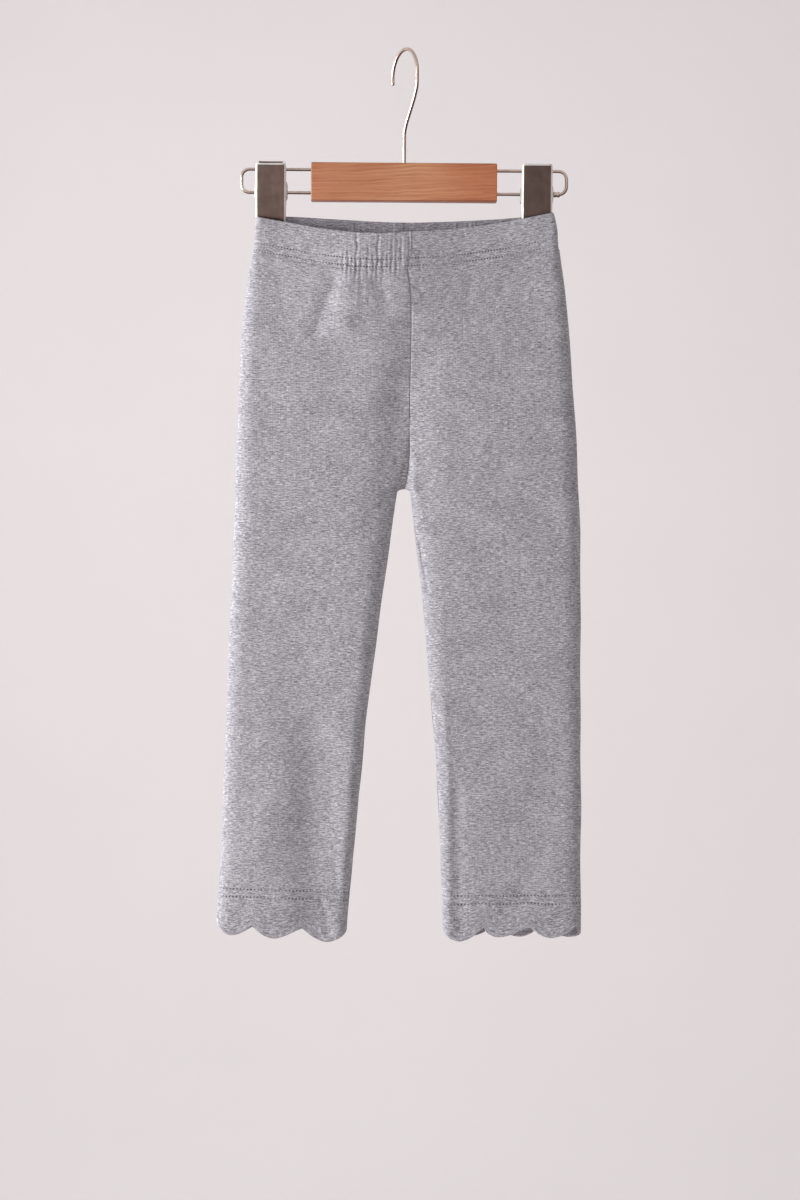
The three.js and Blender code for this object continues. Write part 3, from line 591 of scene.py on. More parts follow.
def grid_object(name, points, uvs, material, closed=False, flip=False):
    """A skin over a grid of points, rows first. uvs has one column more where the rows are closed."""
    rows, columns = points.shape[:2]
    faces, r, c = grid_faces(rows, columns, columns if closed else columns - 1)
    corners = np.stack([uvs[r, c], uvs[r, c + 1], uvs[r + 1, c + 1], uvs[r + 1, c]], 1)
    if flip:
        faces, corners = faces[:, ::-1], corners[:, ::-1]
    mesh = bpy.data.meshes.new(name)
    mesh.from_pydata((points.reshape(-1, 3) * MM).tolist(), [], faces.tolist())
    layer = mesh.uv_layers.new(name="cloth")
    layer.data.foreach_set("uv", (corners.reshape(-1, 2) * MM).astype(np.float32).ravel())
    mesh.shade_smooth()
    return new_piece(name, mesh, material)


def join_meshes(parts):
    """Several (points, faces) as one."""
    points, faces, count = [], [], 0
    for part_points, part_faces in parts:
        points.append(np.asarray(part_points, float))
        faces += [tuple(i + count for i in face) for face in part_faces]
        count += len(part_points)
    return np.concatenate(points), faces


def plain_object(name, points, faces, material, sharp=None):
    mesh = bpy.data.meshes.new(name)
    mesh.from_pydata((np.asarray(points) * MM).tolist(), [], faces)
    mesh.validate()
    work = bmesh.new()
    work.from_mesh(mesh)
    bmesh.ops.recalc_face_normals(work, faces=work.faces)
    work.to_mesh(mesh)
    work.free()
    mesh.shade_smooth()
    if sharp is not None:
        mesh.set_sharp_from_angle(angle=math.radians(sharp))
    return new_piece(name, mesh, material)


def tube(path, radius, sides=16, closed=False, scale=None):
    """Points and faces of a round bar along a line of points."""
    path = np.asarray(path, float)
    count = len(path)
    if closed:
        along = np.roll(path, -1, 0) - np.roll(path, 1, 0)
    else:
        along = np.gradient(path, axis=0)
    along /= np.linalg.norm(along, axis=1, keepdims=True)
    guess = np.array([0, 1, 0.0]) if abs(along[0][1]) < 0.9 else np.array([1.0, 0, 0])
    rings = []
    for k in range(count):
        across = guess - along[k] * np.dot(guess, along[k])
        across /= np.linalg.norm(across)
        guess = across
        other = np.cross(along[k], across)
        angles = 2 * np.pi * np.arange(sides) / sides
        size = radius * (1 if scale is None else scale[k])
        ring = np.cos(angles)[:, None] * across + np.sin(angles)[:, None] * other
        rings.append(path[k] + size * ring)
    points = np.concatenate(rings)
    faces = []
    spans = count if closed else count - 1
    for k in range(spans):
        a, b = k * sides, ((k + 1) % count) * sides
        for i in range(sides):
            j = (i + 1) % sides
            faces.append((a + i, a + j, b + j, b + i))
    if not closed:
        faces.append(tuple(range(sides))[::-1])
        faces.append(tuple((count - 1) * sides + i for i in range(sides)))
    return points, faces


def along_path(reach, lengths, values):
    """Points or normals of a line at distances along it."""
    return np.stack([np.interp(reach, lengths, values[:, i]) for i in range(3)], -1)


def stitches(path, normals, lengths, pitch, gap=1.1, lift=0.1, sides=6):
    """Small thread stitches along a line on the cloth, one to each pitch of its flat length."""
    parts = []
    for k in range(int(lengths[-1] / pitch)):
        steps = gap / 2 + (pitch - gap) * np.array([0, 0.14, 0.5, 0.86, 1])
        raised = lift * np.array([-1.8, 0.2, 1, 0.2, -1.8])
        line, out = (along_path(k * pitch + steps, lengths, values) for values in (path, normals))
        thread = tube(line + out * raised[:, None], THREAD_RADIUS, sides, scale=[0.4, 0.9, 1, 0.9, 0.4])
        parts.append(thread)
    return join_meshes(parts)


# Materials

HEATHER_STOPS = [
    (0.365, (0.143, 0.135, 0.15)),
    (0.5, (0.324, 0.31, 0.338)),
    (0.635, (0.59, 0.572, 0.605)),
]
HEATHER_PALE = (0.66, 0.645, 0.675, 1)
HEATHER_DARK = (0.1, 0.094, 0.105, 1)
HOLE_RADIUS = 0.78
# Painted shade along each row of stitches, for the shade in its groove: width and strength.
ROW_PAINTED_SHADE_WIDTH = 0.9
ROW_PAINTED_SHADE = 0.14
HOLE_COLOUR = (0.05, 0.045, 0.05, 1)
# The inner sides of the cloth, as shades of the outer one: the hem facing is lightened as painted light and
# the band's inner side is darkened as painted shade.
FACING_PAINTED_LIGHT = (1.15, 1.12, 1.13, 1)
WRONG_SIDE_PAINTED_SHADE = (0.8, 0.77, 0.8, 1)
THREAD_STOPS = [(0.35, (0.3024, 0.2933, 0.3145)), (0.65, (0.504, 0.4889, 0.5242))]
WOOD_STOPS = [(0.3, (0.37, 0.126, 0.053)), (0.48, (0.465, 0.181, 0.082)), (0.68, (0.54, 0.238, 0.118))]
WOOD_PALE = (0.57, 0.265, 0.145, 1)
WOOD_PORE = (0.25, 0.08, 0.035, 1)
# Painted shade along the block's lower edge.
WOOD_FOOT_PAINTED_SHADE = (0.22, 0.05, 0.022, 1)
# How the wood's tone changes from its right end to its left one.
WOOD_ALONG = [(0.12, (0.81, 0.765, 0.725)), (0.5, (1.05, 1.18, 1.24)), (0.88, (1.02, 0.88, 0.78))]
# Painted shade: the wire keeps its bright colour on the side that this points to and is darkened on the
# other.
LIT_SIDE = (-0.55, -0.1, 0.83)
PAINTED_SHADE_COLOUR = (0.05, 0.03, 0.025, 1)


class Nodes:
    """Adds nodes to one material. An input is a number, a colour or another node's output."""

    def __init__(self, name):
        self.material = bpy.data.materials.new(name)
        self.material.use_nodes = True
        self.tree = self.material.node_tree
        self.tree.nodes.clear()

    def feed(self, socket, value):
        if isinstance(value, bpy.types.NodeSocket):
            self.tree.links.new(value, socket)
        else:
            socket.default_value = value

    def add(self, kind, inputs=None, **settings):
        node = self.tree.nodes.new("ShaderNode" + kind)
        for key, value in settings.items():
            setattr(node, key, value)
        for key, value in (inputs or {}).items():
            self.feed(node.inputs[key], value)
        return node

    def math(self, operation, a, b=0.0):
        return self.add("Math", {0: a, 1: b}, operation=operation).outputs[0]

    def times(self, a, b):
        return self.math("MULTIPLY", a, b)

    def plus(self, a, b):
        return self.math("ADD", a, b)

    def minus(self, a, b):
        return self.math("SUBTRACT", a, b)

    def noise(self, vector, scale, detail=2.0, rough=0.5, shift=(0, 0, 0)):
        moved = self.add("Mapping", {"Vector": vector, "Scale": scale, "Location": shift}).outputs[0]
        inputs = {"Vector": moved, "Scale": 1.0, "Detail": detail, "Roughness": rough}
        return self.add("TexNoise", inputs).outputs["Fac"]

    def ramp(self, value, stops):
        node = self.add("ValToRGB", {"Fac": value})
        while len(node.color_ramp.elements) < len(stops):
            node.color_ramp.elements.new(0.5)
        for element, (position, colour) in zip(node.color_ramp.elements, stops):
            element.position = position
            element.color = (*colour, 1) if len(colour) == 3 else colour
        return node.outputs["Color"]

    def change(self, value, start, end, low=0.0, high=1.0):
        """A share that goes from low to high as the value goes from start to end."""
        return self.ramp(value, [(start, (low,) * 3), (end, (high,) * 3)])

    def limit(self, value, high=1.0):
        return self.math("MINIMUM", self.math("MAXIMUM", value, 0.0), high)

    def mix(self, share, a, b, blend="MIX"):
        node = self.add("Mix", data_type="RGBA", blend_type=blend)
        for key, value in ((0, share), (6, a), (7, b)):
            self.feed(node.inputs[key], value)
        return node.outputs[2]

    def bump(self, height, strength, distance, normal=None):
        inputs = {"Height": height, "Strength": strength, "Distance": distance}
        if normal is not None:
            inputs["Normal"] = normal
        return self.add("Bump", inputs).outputs[0]

    def finish(self, **inputs):
        shader = self.add("BsdfPrincipled", {k.replace("_", " "): v for k, v in inputs.items()})
        self.tree.links.new(shader.outputs[0], self.add("OutputMaterial").inputs[0])
        return self.material


def jersey_material(name, stitch_rows=(), pitch=HEM_PITCH, shade=None):
    """Heather-grey jersey: pale and dark fibres in short level streaks over a fine knit, with the
    needle's holes along the rows of stitches."""
    n = Nodes(name)
    uv = n.add("UVMap", uv_map="cloth").outputs[0]
    long = n.noise(uv, (140, 1050, 1), 3.0, 0.6)
    short = n.noise(uv, (360, 1500, 1), 2.0, 0.55, (7, 3, 0))
    cloud = n.noise(uv, (34, 60, 1), 2.0, 0.5, (2, 9, 0))
    fleck = n.noise(uv, (290, 1400, 1), 1.0, 0.5, (5, 1, 0))
    speck = n.noise(uv, (270, 1300, 1), 1.0, 0.5, (1, 8, 0))
    streaks = n.plus(n.times(long, 0.5), n.times(short, 0.5))
    streaks = n.plus(streaks, n.times(n.minus(cloud, 0.5), 0.1))
    colour = n.ramp(streaks, HEATHER_STOPS)
    pale = n.change(fleck, 0.62, 0.74)
    colour = n.mix(pale, colour, HEATHER_PALE)
    dark = n.change(speck, 0.62, 0.76, 0, 0.8)
    colour = n.mix(dark, colour, HEATHER_DARK)
    if stitch_rows:
        place = n.add("SeparateXYZ", {0: uv}).outputs
        along = n.math("PINGPONG", place[0], pitch * MM / 2)
        fade = n.noise(uv, (45, 8, 1), 1.0, 0.5, (3, 3, 0))
        seen = n.change(fade, 0.38, 0.56, 0.35, 0.95)
        for row in stitch_rows:
            across = n.minus(place[1], row * MM)
            square = n.plus(n.times(along, along), n.times(across, across))
            away = n.math("DIVIDE", n.math("SQRT", square), HOLE_RADIUS * MM)
            hole = n.limit(n.times(n.minus(1.0, away), 3.0))
            # Painted shade: a faint dark band along each row stands in for the shade in its groove.
            aside = n.math("DIVIDE", n.math("ABSOLUTE", across), ROW_PAINTED_SHADE_WIDTH * MM)
            dip = n.times(n.math("MAXIMUM", n.minus(1.0, aside), 0.0), ROW_PAINTED_SHADE)
            dark = n.times(n.math("MAXIMUM", hole, dip), seen)
            colour = n.mix(dark, colour, HOLE_COLOUR)
    wave = {"Vector": uv, "Scale": 230.0, "Distortion": 1.2, "Detail": 1.0, "Detail Scale": 2.0}
    wale = n.add("TexWave", wave, bands_direction="X").outputs["Fac"]
    rough = n.noise(uv, (500, 1400, 1), 3.0, 0.6)
    relief = n.plus(n.times(wale, 0.4), rough)
    soft = n.noise(uv, (70, 110, 1), 2.0, 0.5, (4, 4, 0))
    normal = n.bump(soft, 0.35, 0.0012)
    normal = n.bump(relief, 0.5, 0.0003, normal)
    # The shade multiplies the colour: painted light on the hem facing, painted shade on the band's inner
    # side.
    if shade:
        colour = n.mix(1.0, colour, shade, "MULTIPLY")
    return n.finish(Base_Color=colour, Roughness=0.92, Specular_IOR_Level=0.18, Sheen_Weight=0.12,
                    Sheen_Roughness=0.6, Normal=normal)


def thread_material():
    n = Nodes("thread")
    place = n.add("TexCoord").outputs["Object"]
    twist = n.noise(place, (2600, 900, 900), 1.0, 0.5)
    colour = n.ramp(twist, THREAD_STOPS)
    normal = n.bump(twist, 0.4, 0.0001)
    return n.finish(Base_Color=colour, Roughness=0.75, Specular_IOR_Level=0.3, Normal=normal)


def wood_material():
    """Reddish-brown cherry with a wavy grain that slants a little, and a thin satin lacquer."""
    n = Nodes("cherry")
    place = n.add("TexCoord").outputs["Object"]
    bend = n.noise(place, (14, 8, 26), 2.0, 0.5, (3, 1, 2))
    lift = n.times(n.minus(bend, 0.5), 0.010)
    parts = n.add("SeparateXYZ", {0: place}).outputs
    slant = n.plus(n.times(parts[0], -0.035), lift)
    risen = n.plus(parts[2], slant)
    warped = n.add("CombineXYZ", {0: parts[0], 1: parts[1], 2: risen}).outputs[0]
    rings = n.noise(warped, (15, 120, 560), 3.0, 0.6)
    pores = n.noise(warped, (90, 600, 1400), 2.0, 0.6)
    patch = n.noise(place, (18, 30, 30), 1.0, 0.5, (1, 5, 2))
    colour = n.ramp(rings, WOOD_STOPS)
    pale = n.change(patch, 0.42, 0.72, 0, 0.5)
    colour = n.mix(pale, colour, WOOD_PALE)
    dark = n.change(pores, 0.58, 0.76, 0, 0.5)
    colour = n.mix(dark, colour, WOOD_PORE)
    along = n.plus(n.math("DIVIDE", parts[0], BLOCK["length"] * MM), 0.5)
    colour = n.mix(1.0, colour, n.ramp(along, WOOD_ALONG), "MULTIPLY")
    # Painted shade: the lowest strip of the block, round its lower edge, is darkened.
    foot = n.minus((BLOCK["top"] - BLOCK["height"] + 1.2) * MM, parts[2])
    edge = n.limit(n.times(foot, 900.0), 0.7)
    colour = n.mix(edge, colour, WOOD_FOOT_PAINTED_SHADE)
    normal = n.bump(pores, 0.25, 0.0002)
    gloss = n.change(rings, 0.3, 0.7, 0.46, 0.58)
    return n.finish(Base_Color=colour, Roughness=gloss, Coat_Weight=0.08, Coat_Roughness=0.4,
                    Normal=normal)


def metal_material(name, colour, rough, scratch=(300, 300, 60), metallic=1.0, painted_shade=0.0):
    """Plated steel with faint drawing lines and small changes of gloss; where a share is given, painted
    shade darkens the side turned away from the light.
    """
    n = Nodes(name)
    place = n.add("TexCoord").outputs["Object"]
    lines = n.noise(place, scratch, 3.0, 0.6)
    cloud = n.noise(place, (90, 90, 90), 2.0, 0.5)
    dim = tuple(c * 0.8 for c in colour)
    tint = n.ramp(cloud, [(0.35, dim), (0.65, colour)])
    # Painted shade: the side facing away from LIT_SIDE is darkened, by this share at most.
    if painted_shade:
        outward = n.add("NewGeometry").outputs["Normal"]
        facing = n.add("VectorMath", {0: outward, 1: LIT_SIDE}, operation="DOT_PRODUCT").outputs["Value"]
        turned = n.plus(facing, 0.5)
        shaded_share = n.change(turned, 0.2, 0.5, painted_shade, 0)
        tint = n.mix(shaded_share, tint, PAINTED_SHADE_COLOUR)
    gloss = n.change(lines, 0.3, 0.7, rough * 0.75, rough * 1.3)
    normal = n.bump(lines, 0.12, 0.0001)
    return n.finish(Base_Color=tint, Metallic=metallic, Roughness=gloss, Normal=normal)


JERSEY_LEG = {leg: jersey_material(f"jersey_{leg}", LEGS[leg]["hem_rows"]) for leg in LEGS}
JERSEY_BAND = jersey_material("jersey_band", [-row for row in BAND_STITCH_ROWS], BAND_PITCH)
# The hem facing's jersey, lightened as painted light.
JERSEY_FACING_PAINTED_LIGHT = jersey_material("jersey_facing_painted_light", shade=FACING_PAINTED_LIGHT)
# The band's inner jersey, darkened as painted shade.
JERSEY_BAND_INNER_PAINTED_SHADE = jersey_material("jersey_band_inner_painted_shade", shade=WRONG_SIDE_PAINTED_SHADE)
THREAD = thread_material()
CHERRY = wood_material()
# The wire carries painted shade on its side away from the light.
WIRE = metal_material("nickel_wire", (0.95, 0.76, 0.66), 0.3, (1200, 1200, 400), painted_shade=0.9)
# Painted reflection: each clip's jaw faces get a dark tone for the dark room they mirror, a darker copy for
# the left clip than for the right.
PLATE_PAINTED_REFLECTION = {
    "right": metal_material("clip_plate_right_painted_reflection", (0.29, 0.205, 0.175), 0.36, (260, 260, 40)),
    "left": metal_material("clip_plate_left_painted_reflection", (0.2, 0.14, 0.12), 0.36, (260, 260, 40)),
}
# Painted highlight: a pale, rough, barely metallic finish for the jaws' rims and cut edges, in place of
# their highlights.
RIM_PAINTED_HIGHLIGHT = metal_material("clip_rim_painted_highlight", (0.86, 0.82, 0.78), 0.6, (900, 900, 200), metallic=0.2)


# Legs and hem facings


def leg_levels():
    """Heights of a leg's rows, closer together at the crotch and at the hem's stitches and edge."""
    upper = np.arange(LEG_TOP_Z, CROTCH_Z + 1, -LEG_ROW_STEP)
    crotch = CROTCH_Z - np.array([-0.05, 0, 0.15, 0.5, 1, 1.8, ARCH_HEIGHT])
    middle = np.arange(CROTCH_Z - ARCH_HEIGHT - 2, MIDDLE_ROWS_END, -LEG_ROW_STEP)
    lower = np.linspace(FINE_ROWS_START, HEM_Z, 44)
    return np.concatenate([upper, crotch, middle, lower])


def leg_skin(name, leg, shares, rows, material, uv_start):
    """A skin over a leg's lines: their levels, how far each is set in and how far it is lifted."""
    lines = [leg_row(leg, z, shares, inset) for z, inset, _ in rows]
    points = np.stack([line[0] + np.array([0, 0, row[2]]) for line, row in zip(lines, rows)])
    heights = np.array([z + lift for z, _, lift in rows])
    flats = np.stack([line[2] for line in lines]) + uv_start
    uvs = np.stack([flats, np.repeat(heights[:, None], len(shares), 1)], -1)
    return grid_object(name, points, uvs, material, flip=leg == "left")


def leg_cloth(leg):
    rows = [(z, inset, 0) for z, inset in HIDDEN_ROWS]
    rows += [(z, 0, 0) for z in leg_levels()]
    rows += [(HEM_Z, EDGE_RADIUS * (1 - math.cos(angle)), -EDGE_RADIUS * math.sin(angle))
             for angle in np.radians([30, 60, 90, 125, 160, 180])]
    rows.append((HEM_Z, 2 * EDGE_RADIUS, EDGE_TURN_UP))
    uv_start = 0 if leg == "right" else LEFT_LEG_UV
    return leg_skin(f"{leg}_leg_cloth", leg, leg_shares(leg), rows, JERSEY_LEG[leg], uv_start)


def facing_cloth(leg):
    """The scalloped inner layer, with its overlocked upper edge."""
    outer, inner = CLOTH + SEAM_GAP, CLOTH + SEAM_GAP + FACING_WALL
    levels = np.linspace(HEM_Z, FACING_EDGE_Z, 26)
    radius = FACING_WALL / 2
    rows = [(z, outer, 0) for z in levels[::-1]]
    rows += [(HEM_Z, outer + radius * (1 - math.cos(angle)), -radius * math.sin(angle))
             for angle in np.radians([45, 90, 135])]
    rows += [(z, inner, 0) for z in levels]
    shares = leg_shares(leg)
    piece = leg_skin(f"{leg}_hem_facing_cloth", leg, shares[::2], rows, JERSEY_FACING_PAINTED_LIGHT, FACING_UV)
    top, normals, _ = leg_row(leg, FACING_EDGE_Z, shares, (outer + inner) / 2)
    return piece, overlock(f"{leg}_hem_overlock", top, normals)


def overlock(name, path, normals, width=0.85, reach=1.5, pitch=1.5):
    """Thread wound round a raw edge: a fine coil along it."""
    lengths = running_total(np.linalg.norm(np.diff(path, axis=0), axis=1))
    turns = lengths[-1] / pitch
    t = np.linspace(0, lengths[-1], int(turns * 8))
    line, out = (along_path(t, lengths, values) for values in (path, normals))
    angle = 2 * np.pi * t / pitch
    line = line + out * (np.cos(angle) * width)[:, None]
    line = line + np.array([0, 0, 1]) * (np.sin(angle) * reach)[:, None]
    points, faces = tube(line, THREAD_RADIUS, 5)
    return plain_object(name, points, faces, THREAD)


def hem_stitches(leg):
    parts = []
    for row in LEGS[leg]["hem_rows"]:
        points, normals, flat = leg_row(leg, row, leg_shares(leg))
        parts.append(stitches(points, normals, flat, HEM_PITCH))
        inside, inside_normals, _ = leg_row(leg, row, leg_shares(leg), CLOTH + SEAM_GAP + FACING_WALL)
        parts.append(stitches(inside, -inside_normals, flat, HEM_PITCH))
    return plain_object(f"{leg}_hem_stitches", *join_meshes(parts), THREAD)


# Waistband


def band_columns(level):
    """Places round the band at a level as (leg, face, distances from the centre seam), from the centre
    front round the wearer's right side, the back and the left side."""
    runs = []
    for leg, face, backwards in (
        ("right", "front", False),
        ("right", "back", True),
        ("left", "back", False),
        ("left", "front", True),
    ):
        width = face_width(leg, level, face)
        flat = np.linspace(0, width - BAND_FOLD, 205)
        fold = width - BAND_FOLD * np.cos(np.linspace(0, np.pi / 2, 16)[1:])
        distances = np.concatenate([flat, fold])
        if backwards:
            distances = distances[::-1][1:]
        elif leg == "left":
            distances = distances[:-1]
        runs.append((leg, face, distances))
    return runs


def band_ring(down, depth, puff=0.0):
    """One ring of the band at a distance down from its edge and a depth in from its outer side: points,
    level normals and the distances round it."""
    x, y, is_front = surface_line(WAIST_Z - down, band_columns(WAIST_Z - down))
    nx, ny = level_normals(x, y, -1, True)
    step = np.hypot(np.diff(x, append=x[0]), np.diff(y, append=y[0]))
    flat = running_total(step)
    rise = wobble(flat[:-1], -down, 3) * 0.5 + puff
    place = np.full_like(x, down)
    for face, here in (("front", is_front), ("back", ~is_front)):
        rise = rise + np.where(here, pucker_rise(face, x, place), 0)
    rise = rise + band_seams(x, is_front, down)
    normals = np.stack([nx, ny, np.zeros_like(nx)], -1)
    z = WAIST_Z - down + waist_shift(x, is_front)
    points = np.stack([x, y, z], -1) + normals * (rise - depth)[:, None]
    return points, normals, flat


def band_seams(x, is_front, down):
    """The centre seams across the band, and the ridges of the seam allowances folded inside it."""
    front, back = (float(CENTRE_AT[face](WAIST_Z - down)) for face in ("front", "back"))
    stitched = float(smooth(down, BAND_STITCH_ROWS[0] - 1, BAND_STITCH_ROWS[0] + 1))
    line = (0.45 - 0.85 * stitched) * bell(x - front, 0.6)
    ridge = 0.5 * smooth(x, front - 7.6, front - 6.2) * (1 - smooth(x, front - 2.4, front - 1.2))
    front_part = line + ridge * float(smooth(down, 2, 8))
    allowance = -0.7 * smooth(x, back - 8, back - 6.8) * (1 - smooth(x, back - 0.8, back))
    back_line = -0.45 * bell(x - back, 0.8)
    return np.where(is_front, front_part, back_line + allowance * 0.6)


def waistband_cloth():
    radius = BAND_WALL / 2
    rows = [(down, 0, float(PUFF_AT(down)) + float(groove(down, BAND_STITCH_ROWS)))
            for down in np.linspace(BAND_HEIGHT + SEAM_GAP, radius, 44)]
    rows += [(radius * (1 - math.sin(angle)), radius * (1 - math.cos(angle)), 0)
             for angle in np.radians(np.arange(20, 180, 20))]
    rows += [(down, BAND_WALL, -float(PUFF_AT(down))) for down in np.linspace(radius, BAND_HEIGHT, 22)]
    rings = [band_ring(*row) for row in rows]
    points = np.stack([ring[0] for ring in rings])
    flats = np.stack([ring[2] for ring in rings]) + BAND_UV
    heights = np.array([-down if depth <= radius else down for down, depth, _ in rows])
    uvs = np.stack([flats, np.repeat(heights[:, None], flats.shape[1], 1)], -1)
    band = grid_object("waistband_cloth", points, uvs, JERSEY_BAND, closed=True)
    # The inner side is the jersey darkened with painted shade, for the shade inside the waist.
    band.data.materials.append(JERSEY_BAND_INNER_PAINTED_SHADE)
    inner = np.repeat(heights[:-1] > 0, points.shape[1])
    band.data.polygons.foreach_set("material_index", inner.astype(np.int32))
    return band


def waistband_stitches():
    parts = []
    for row in BAND_STITCH_ROWS:
        for depth, way in ((0, 1), (BAND_WALL, -1)):
            points, normals, flat = band_ring(row, depth, way * float(groove(row, BAND_STITCH_ROWS)))
            closed, outward = (np.vstack([values, values[:1]]) for values in (points, normals))
            parts.append(stitches(closed, way * outward, flat, BAND_PITCH))
    return plain_object("waistband_stitches", *join_meshes(parts), THREAD)


# Hanger


def tilted(points):
    """Points of the hanger's own plane, turned by its small tilt about Y."""
    points = np.asarray(points, float)
    c, s = math.cos(HANGER_TILT), math.sin(HANGER_TILT)
    x, y, z = points[..., 0], points[..., 1], points[..., 2]
    return np.stack([x * c + z * s, y, -x * s + z * c], -1)


def arc(cx, cz, radius, start, end, steps=10):
    angles = np.radians(np.linspace(start, end, steps))
    return [(cx + radius * math.cos(a), 0, cz + radius * math.sin(a)) for a in angles]


def frame_wire():
    half, bend, top, bottom = FRAME["half"], FRAME["bend"], FRAME["top"], FRAME["bottom"]
    path = arc(half - bend, bottom + bend, bend, -90, 0)
    path += arc(half - bend, top - bend, bend, 0, 90)
    path += arc(-half + bend, top - bend, bend, 90, 180)
    path += arc(-half + bend, bottom + bend, bend, 180, 270)
    points, faces = tube(path, FRAME["wire"] / 2, 20, closed=True)
    return plain_object("hanger_frame_wire", tilted(points), faces, WIRE)


def hook_wire():
    radius, foot, stem_top = HOOK["radius"], HOOK["bow_foot"], HOOK["stem_top"]
    centre = HOOK["wire"] / 2 - radius
    ends = np.array([
        (0, stem_top),
        (0, stem_top + HOOK_HANDLES["stem"]),
        (radius + HOOK_HANDLES["across"], foot - HOOK_HANDLES["down"]),
        (radius, foot),
    ])
    t = np.linspace(0, 1, 28)[:, None]
    shares = ((1 - t) ** 3, 3 * t * (1 - t) ** 2, 3 * t**2 * (1 - t), t**3)
    bezier = sum(share * end for share, end in zip(shares, ends))
    straight = [(0, z) for z in np.linspace(BLOCK["top"] - HOOK_SOCKET_DEPTH + BORE_GAP, stem_top, 8)]
    rise = [(radius, z) for z in np.linspace(foot, centre, 5)]
    angles = np.radians(np.linspace(0, HOOK["tip"], 60))
    bow = [(radius * math.cos(a), centre + radius * math.sin(a)) for a in angles]
    flat = np.array([*straight[:-1], *bezier, *rise[1:], *bow[1:]])
    turn = math.radians(HOOK["turn"] - 90)
    path = np.stack([flat[:, 0] * math.cos(turn), flat[:, 0] * math.sin(turn), flat[:, 1]], -1)
    size = np.ones(len(path))
    size[-1], size[-2] = 0.55, 0.92
    path[-1] = path[-2] + (path[-1] - path[-2]) * 0.35
    points, faces = tube(path, HOOK["wire"] / 2, 20, scale=size)
    return plain_object("hanger_hook_wire", tilted(points), faces, WIRE, 50)


def block_wood():
    """The wood block, its edges rounded, bored for the frame and the hook."""
    work = bmesh.new()
    bmesh.ops.create_cube(work, size=1)
    sizes = (BLOCK["length"], BLOCK["depth"], BLOCK["height"])
    bmesh.ops.scale(work, vec=Vector(sizes), verts=work.verts)
    bmesh.ops.bevel(work, geom=work.edges[:], offset=BLOCK["edge"], segments=4, profile=0.5, affect="EDGES")
    bmesh.ops.translate(work, vec=(0, 0, BLOCK["top"] - BLOCK["height"] / 2), verts=work.verts)
    mesh = bpy.data.meshes.new("hanger_block_wood")
    work.to_mesh(mesh)
    work.free()
    block = new_piece("hanger_block_wood", mesh, CHERRY)
    bore = FRAME["wire"] / 2 + BORE_GAP
    cutters = [
        ((0, 0, FRAME["top"]), (0, math.pi / 2, 0), bore, 200),
        ((0, 0, FRAME["bottom"]), (0, math.pi / 2, 0), bore, 200),
        ((0, 0, BLOCK["top"]), (0, 0, 0), HOOK["wire"] / 2 + BORE_GAP, 2 * HOOK_SOCKET_DEPTH),
    ]
    for where, turn, radius, depth in cutters:
        bpy.ops.mesh.primitive_cylinder_add(
            vertices=32, radius=radius, depth=depth, location=where, rotation=turn
        )
        cutter = bpy.context.object
        cut = block.modifiers.new("bore", "BOOLEAN")
        cut.operation, cut.object, cut.solver = "DIFFERENCE", cutter, "EXACT"
        bpy.context.view_layer.objects.active = block
        bpy.ops.object.modifier_apply(modifier=cut.name)
        bpy.data.objects.remove(cutter)
    points = np.array([v.co for v in block.data.vertices])
    block.data.vertices.foreach_set("co", (tilted(points) * MM).ravel())
    block.data.shade_smooth()
    block.data.set_sharp_from_angle(angle=math.radians(40))
    return block


# The strips of a front jaw that carry the painted highlight of its rims: columns from each side, rows from
# the top.
HIGHLIGHT_SPANS = 6
HIGHLIGHT_ROWS = 1
JAW_CORNER = 1.5
JAW_SHEET = 0.9
# The round dimple near the top of a front jaw, where the plate is pinched.
DIMPLE = dict(down=12.5, depth=0.5, width=2.4)
# The back jaw is narrower than the front one, but its ears reach outside the front jaw's.
BACK_NARROWER = 1.35
BACK_EAR_REACH = 2.3
# A jaw's section across at each height: distance from the middle plane, half width, depth of the side
# flanges and the height, from its upper edge down.
JAW_ROWS = [
    (8.9, 11.6, 0.6, 0.0),
    (9.25, 12.0, 1.6, -1.2),
    (9.05, 12.25, 2.6, -3.6),
    (8.4, 12.25, 3.2, -8),
    (7.9, 12.25, 3.8, -13),
    (7.5, 12.25, 4.8, -17),
    (7.2, 12.25, 8.4, -21),
    (6.9, 12.25, 10.6, -26.5),
    (6.6, 12.25, 9.8, -32),
    (6.2, 12.25, 4.2, -36),
    (5.4, 12.2, 2.8, -41),
    (4.2, 12.1, 1.8, -46),
    (2.4, 11.6, 0.8, -50.5),
    (1.5, 11.2, 0.2, -53),
    (1.45, 11.0, 0.1, -56.5),
]


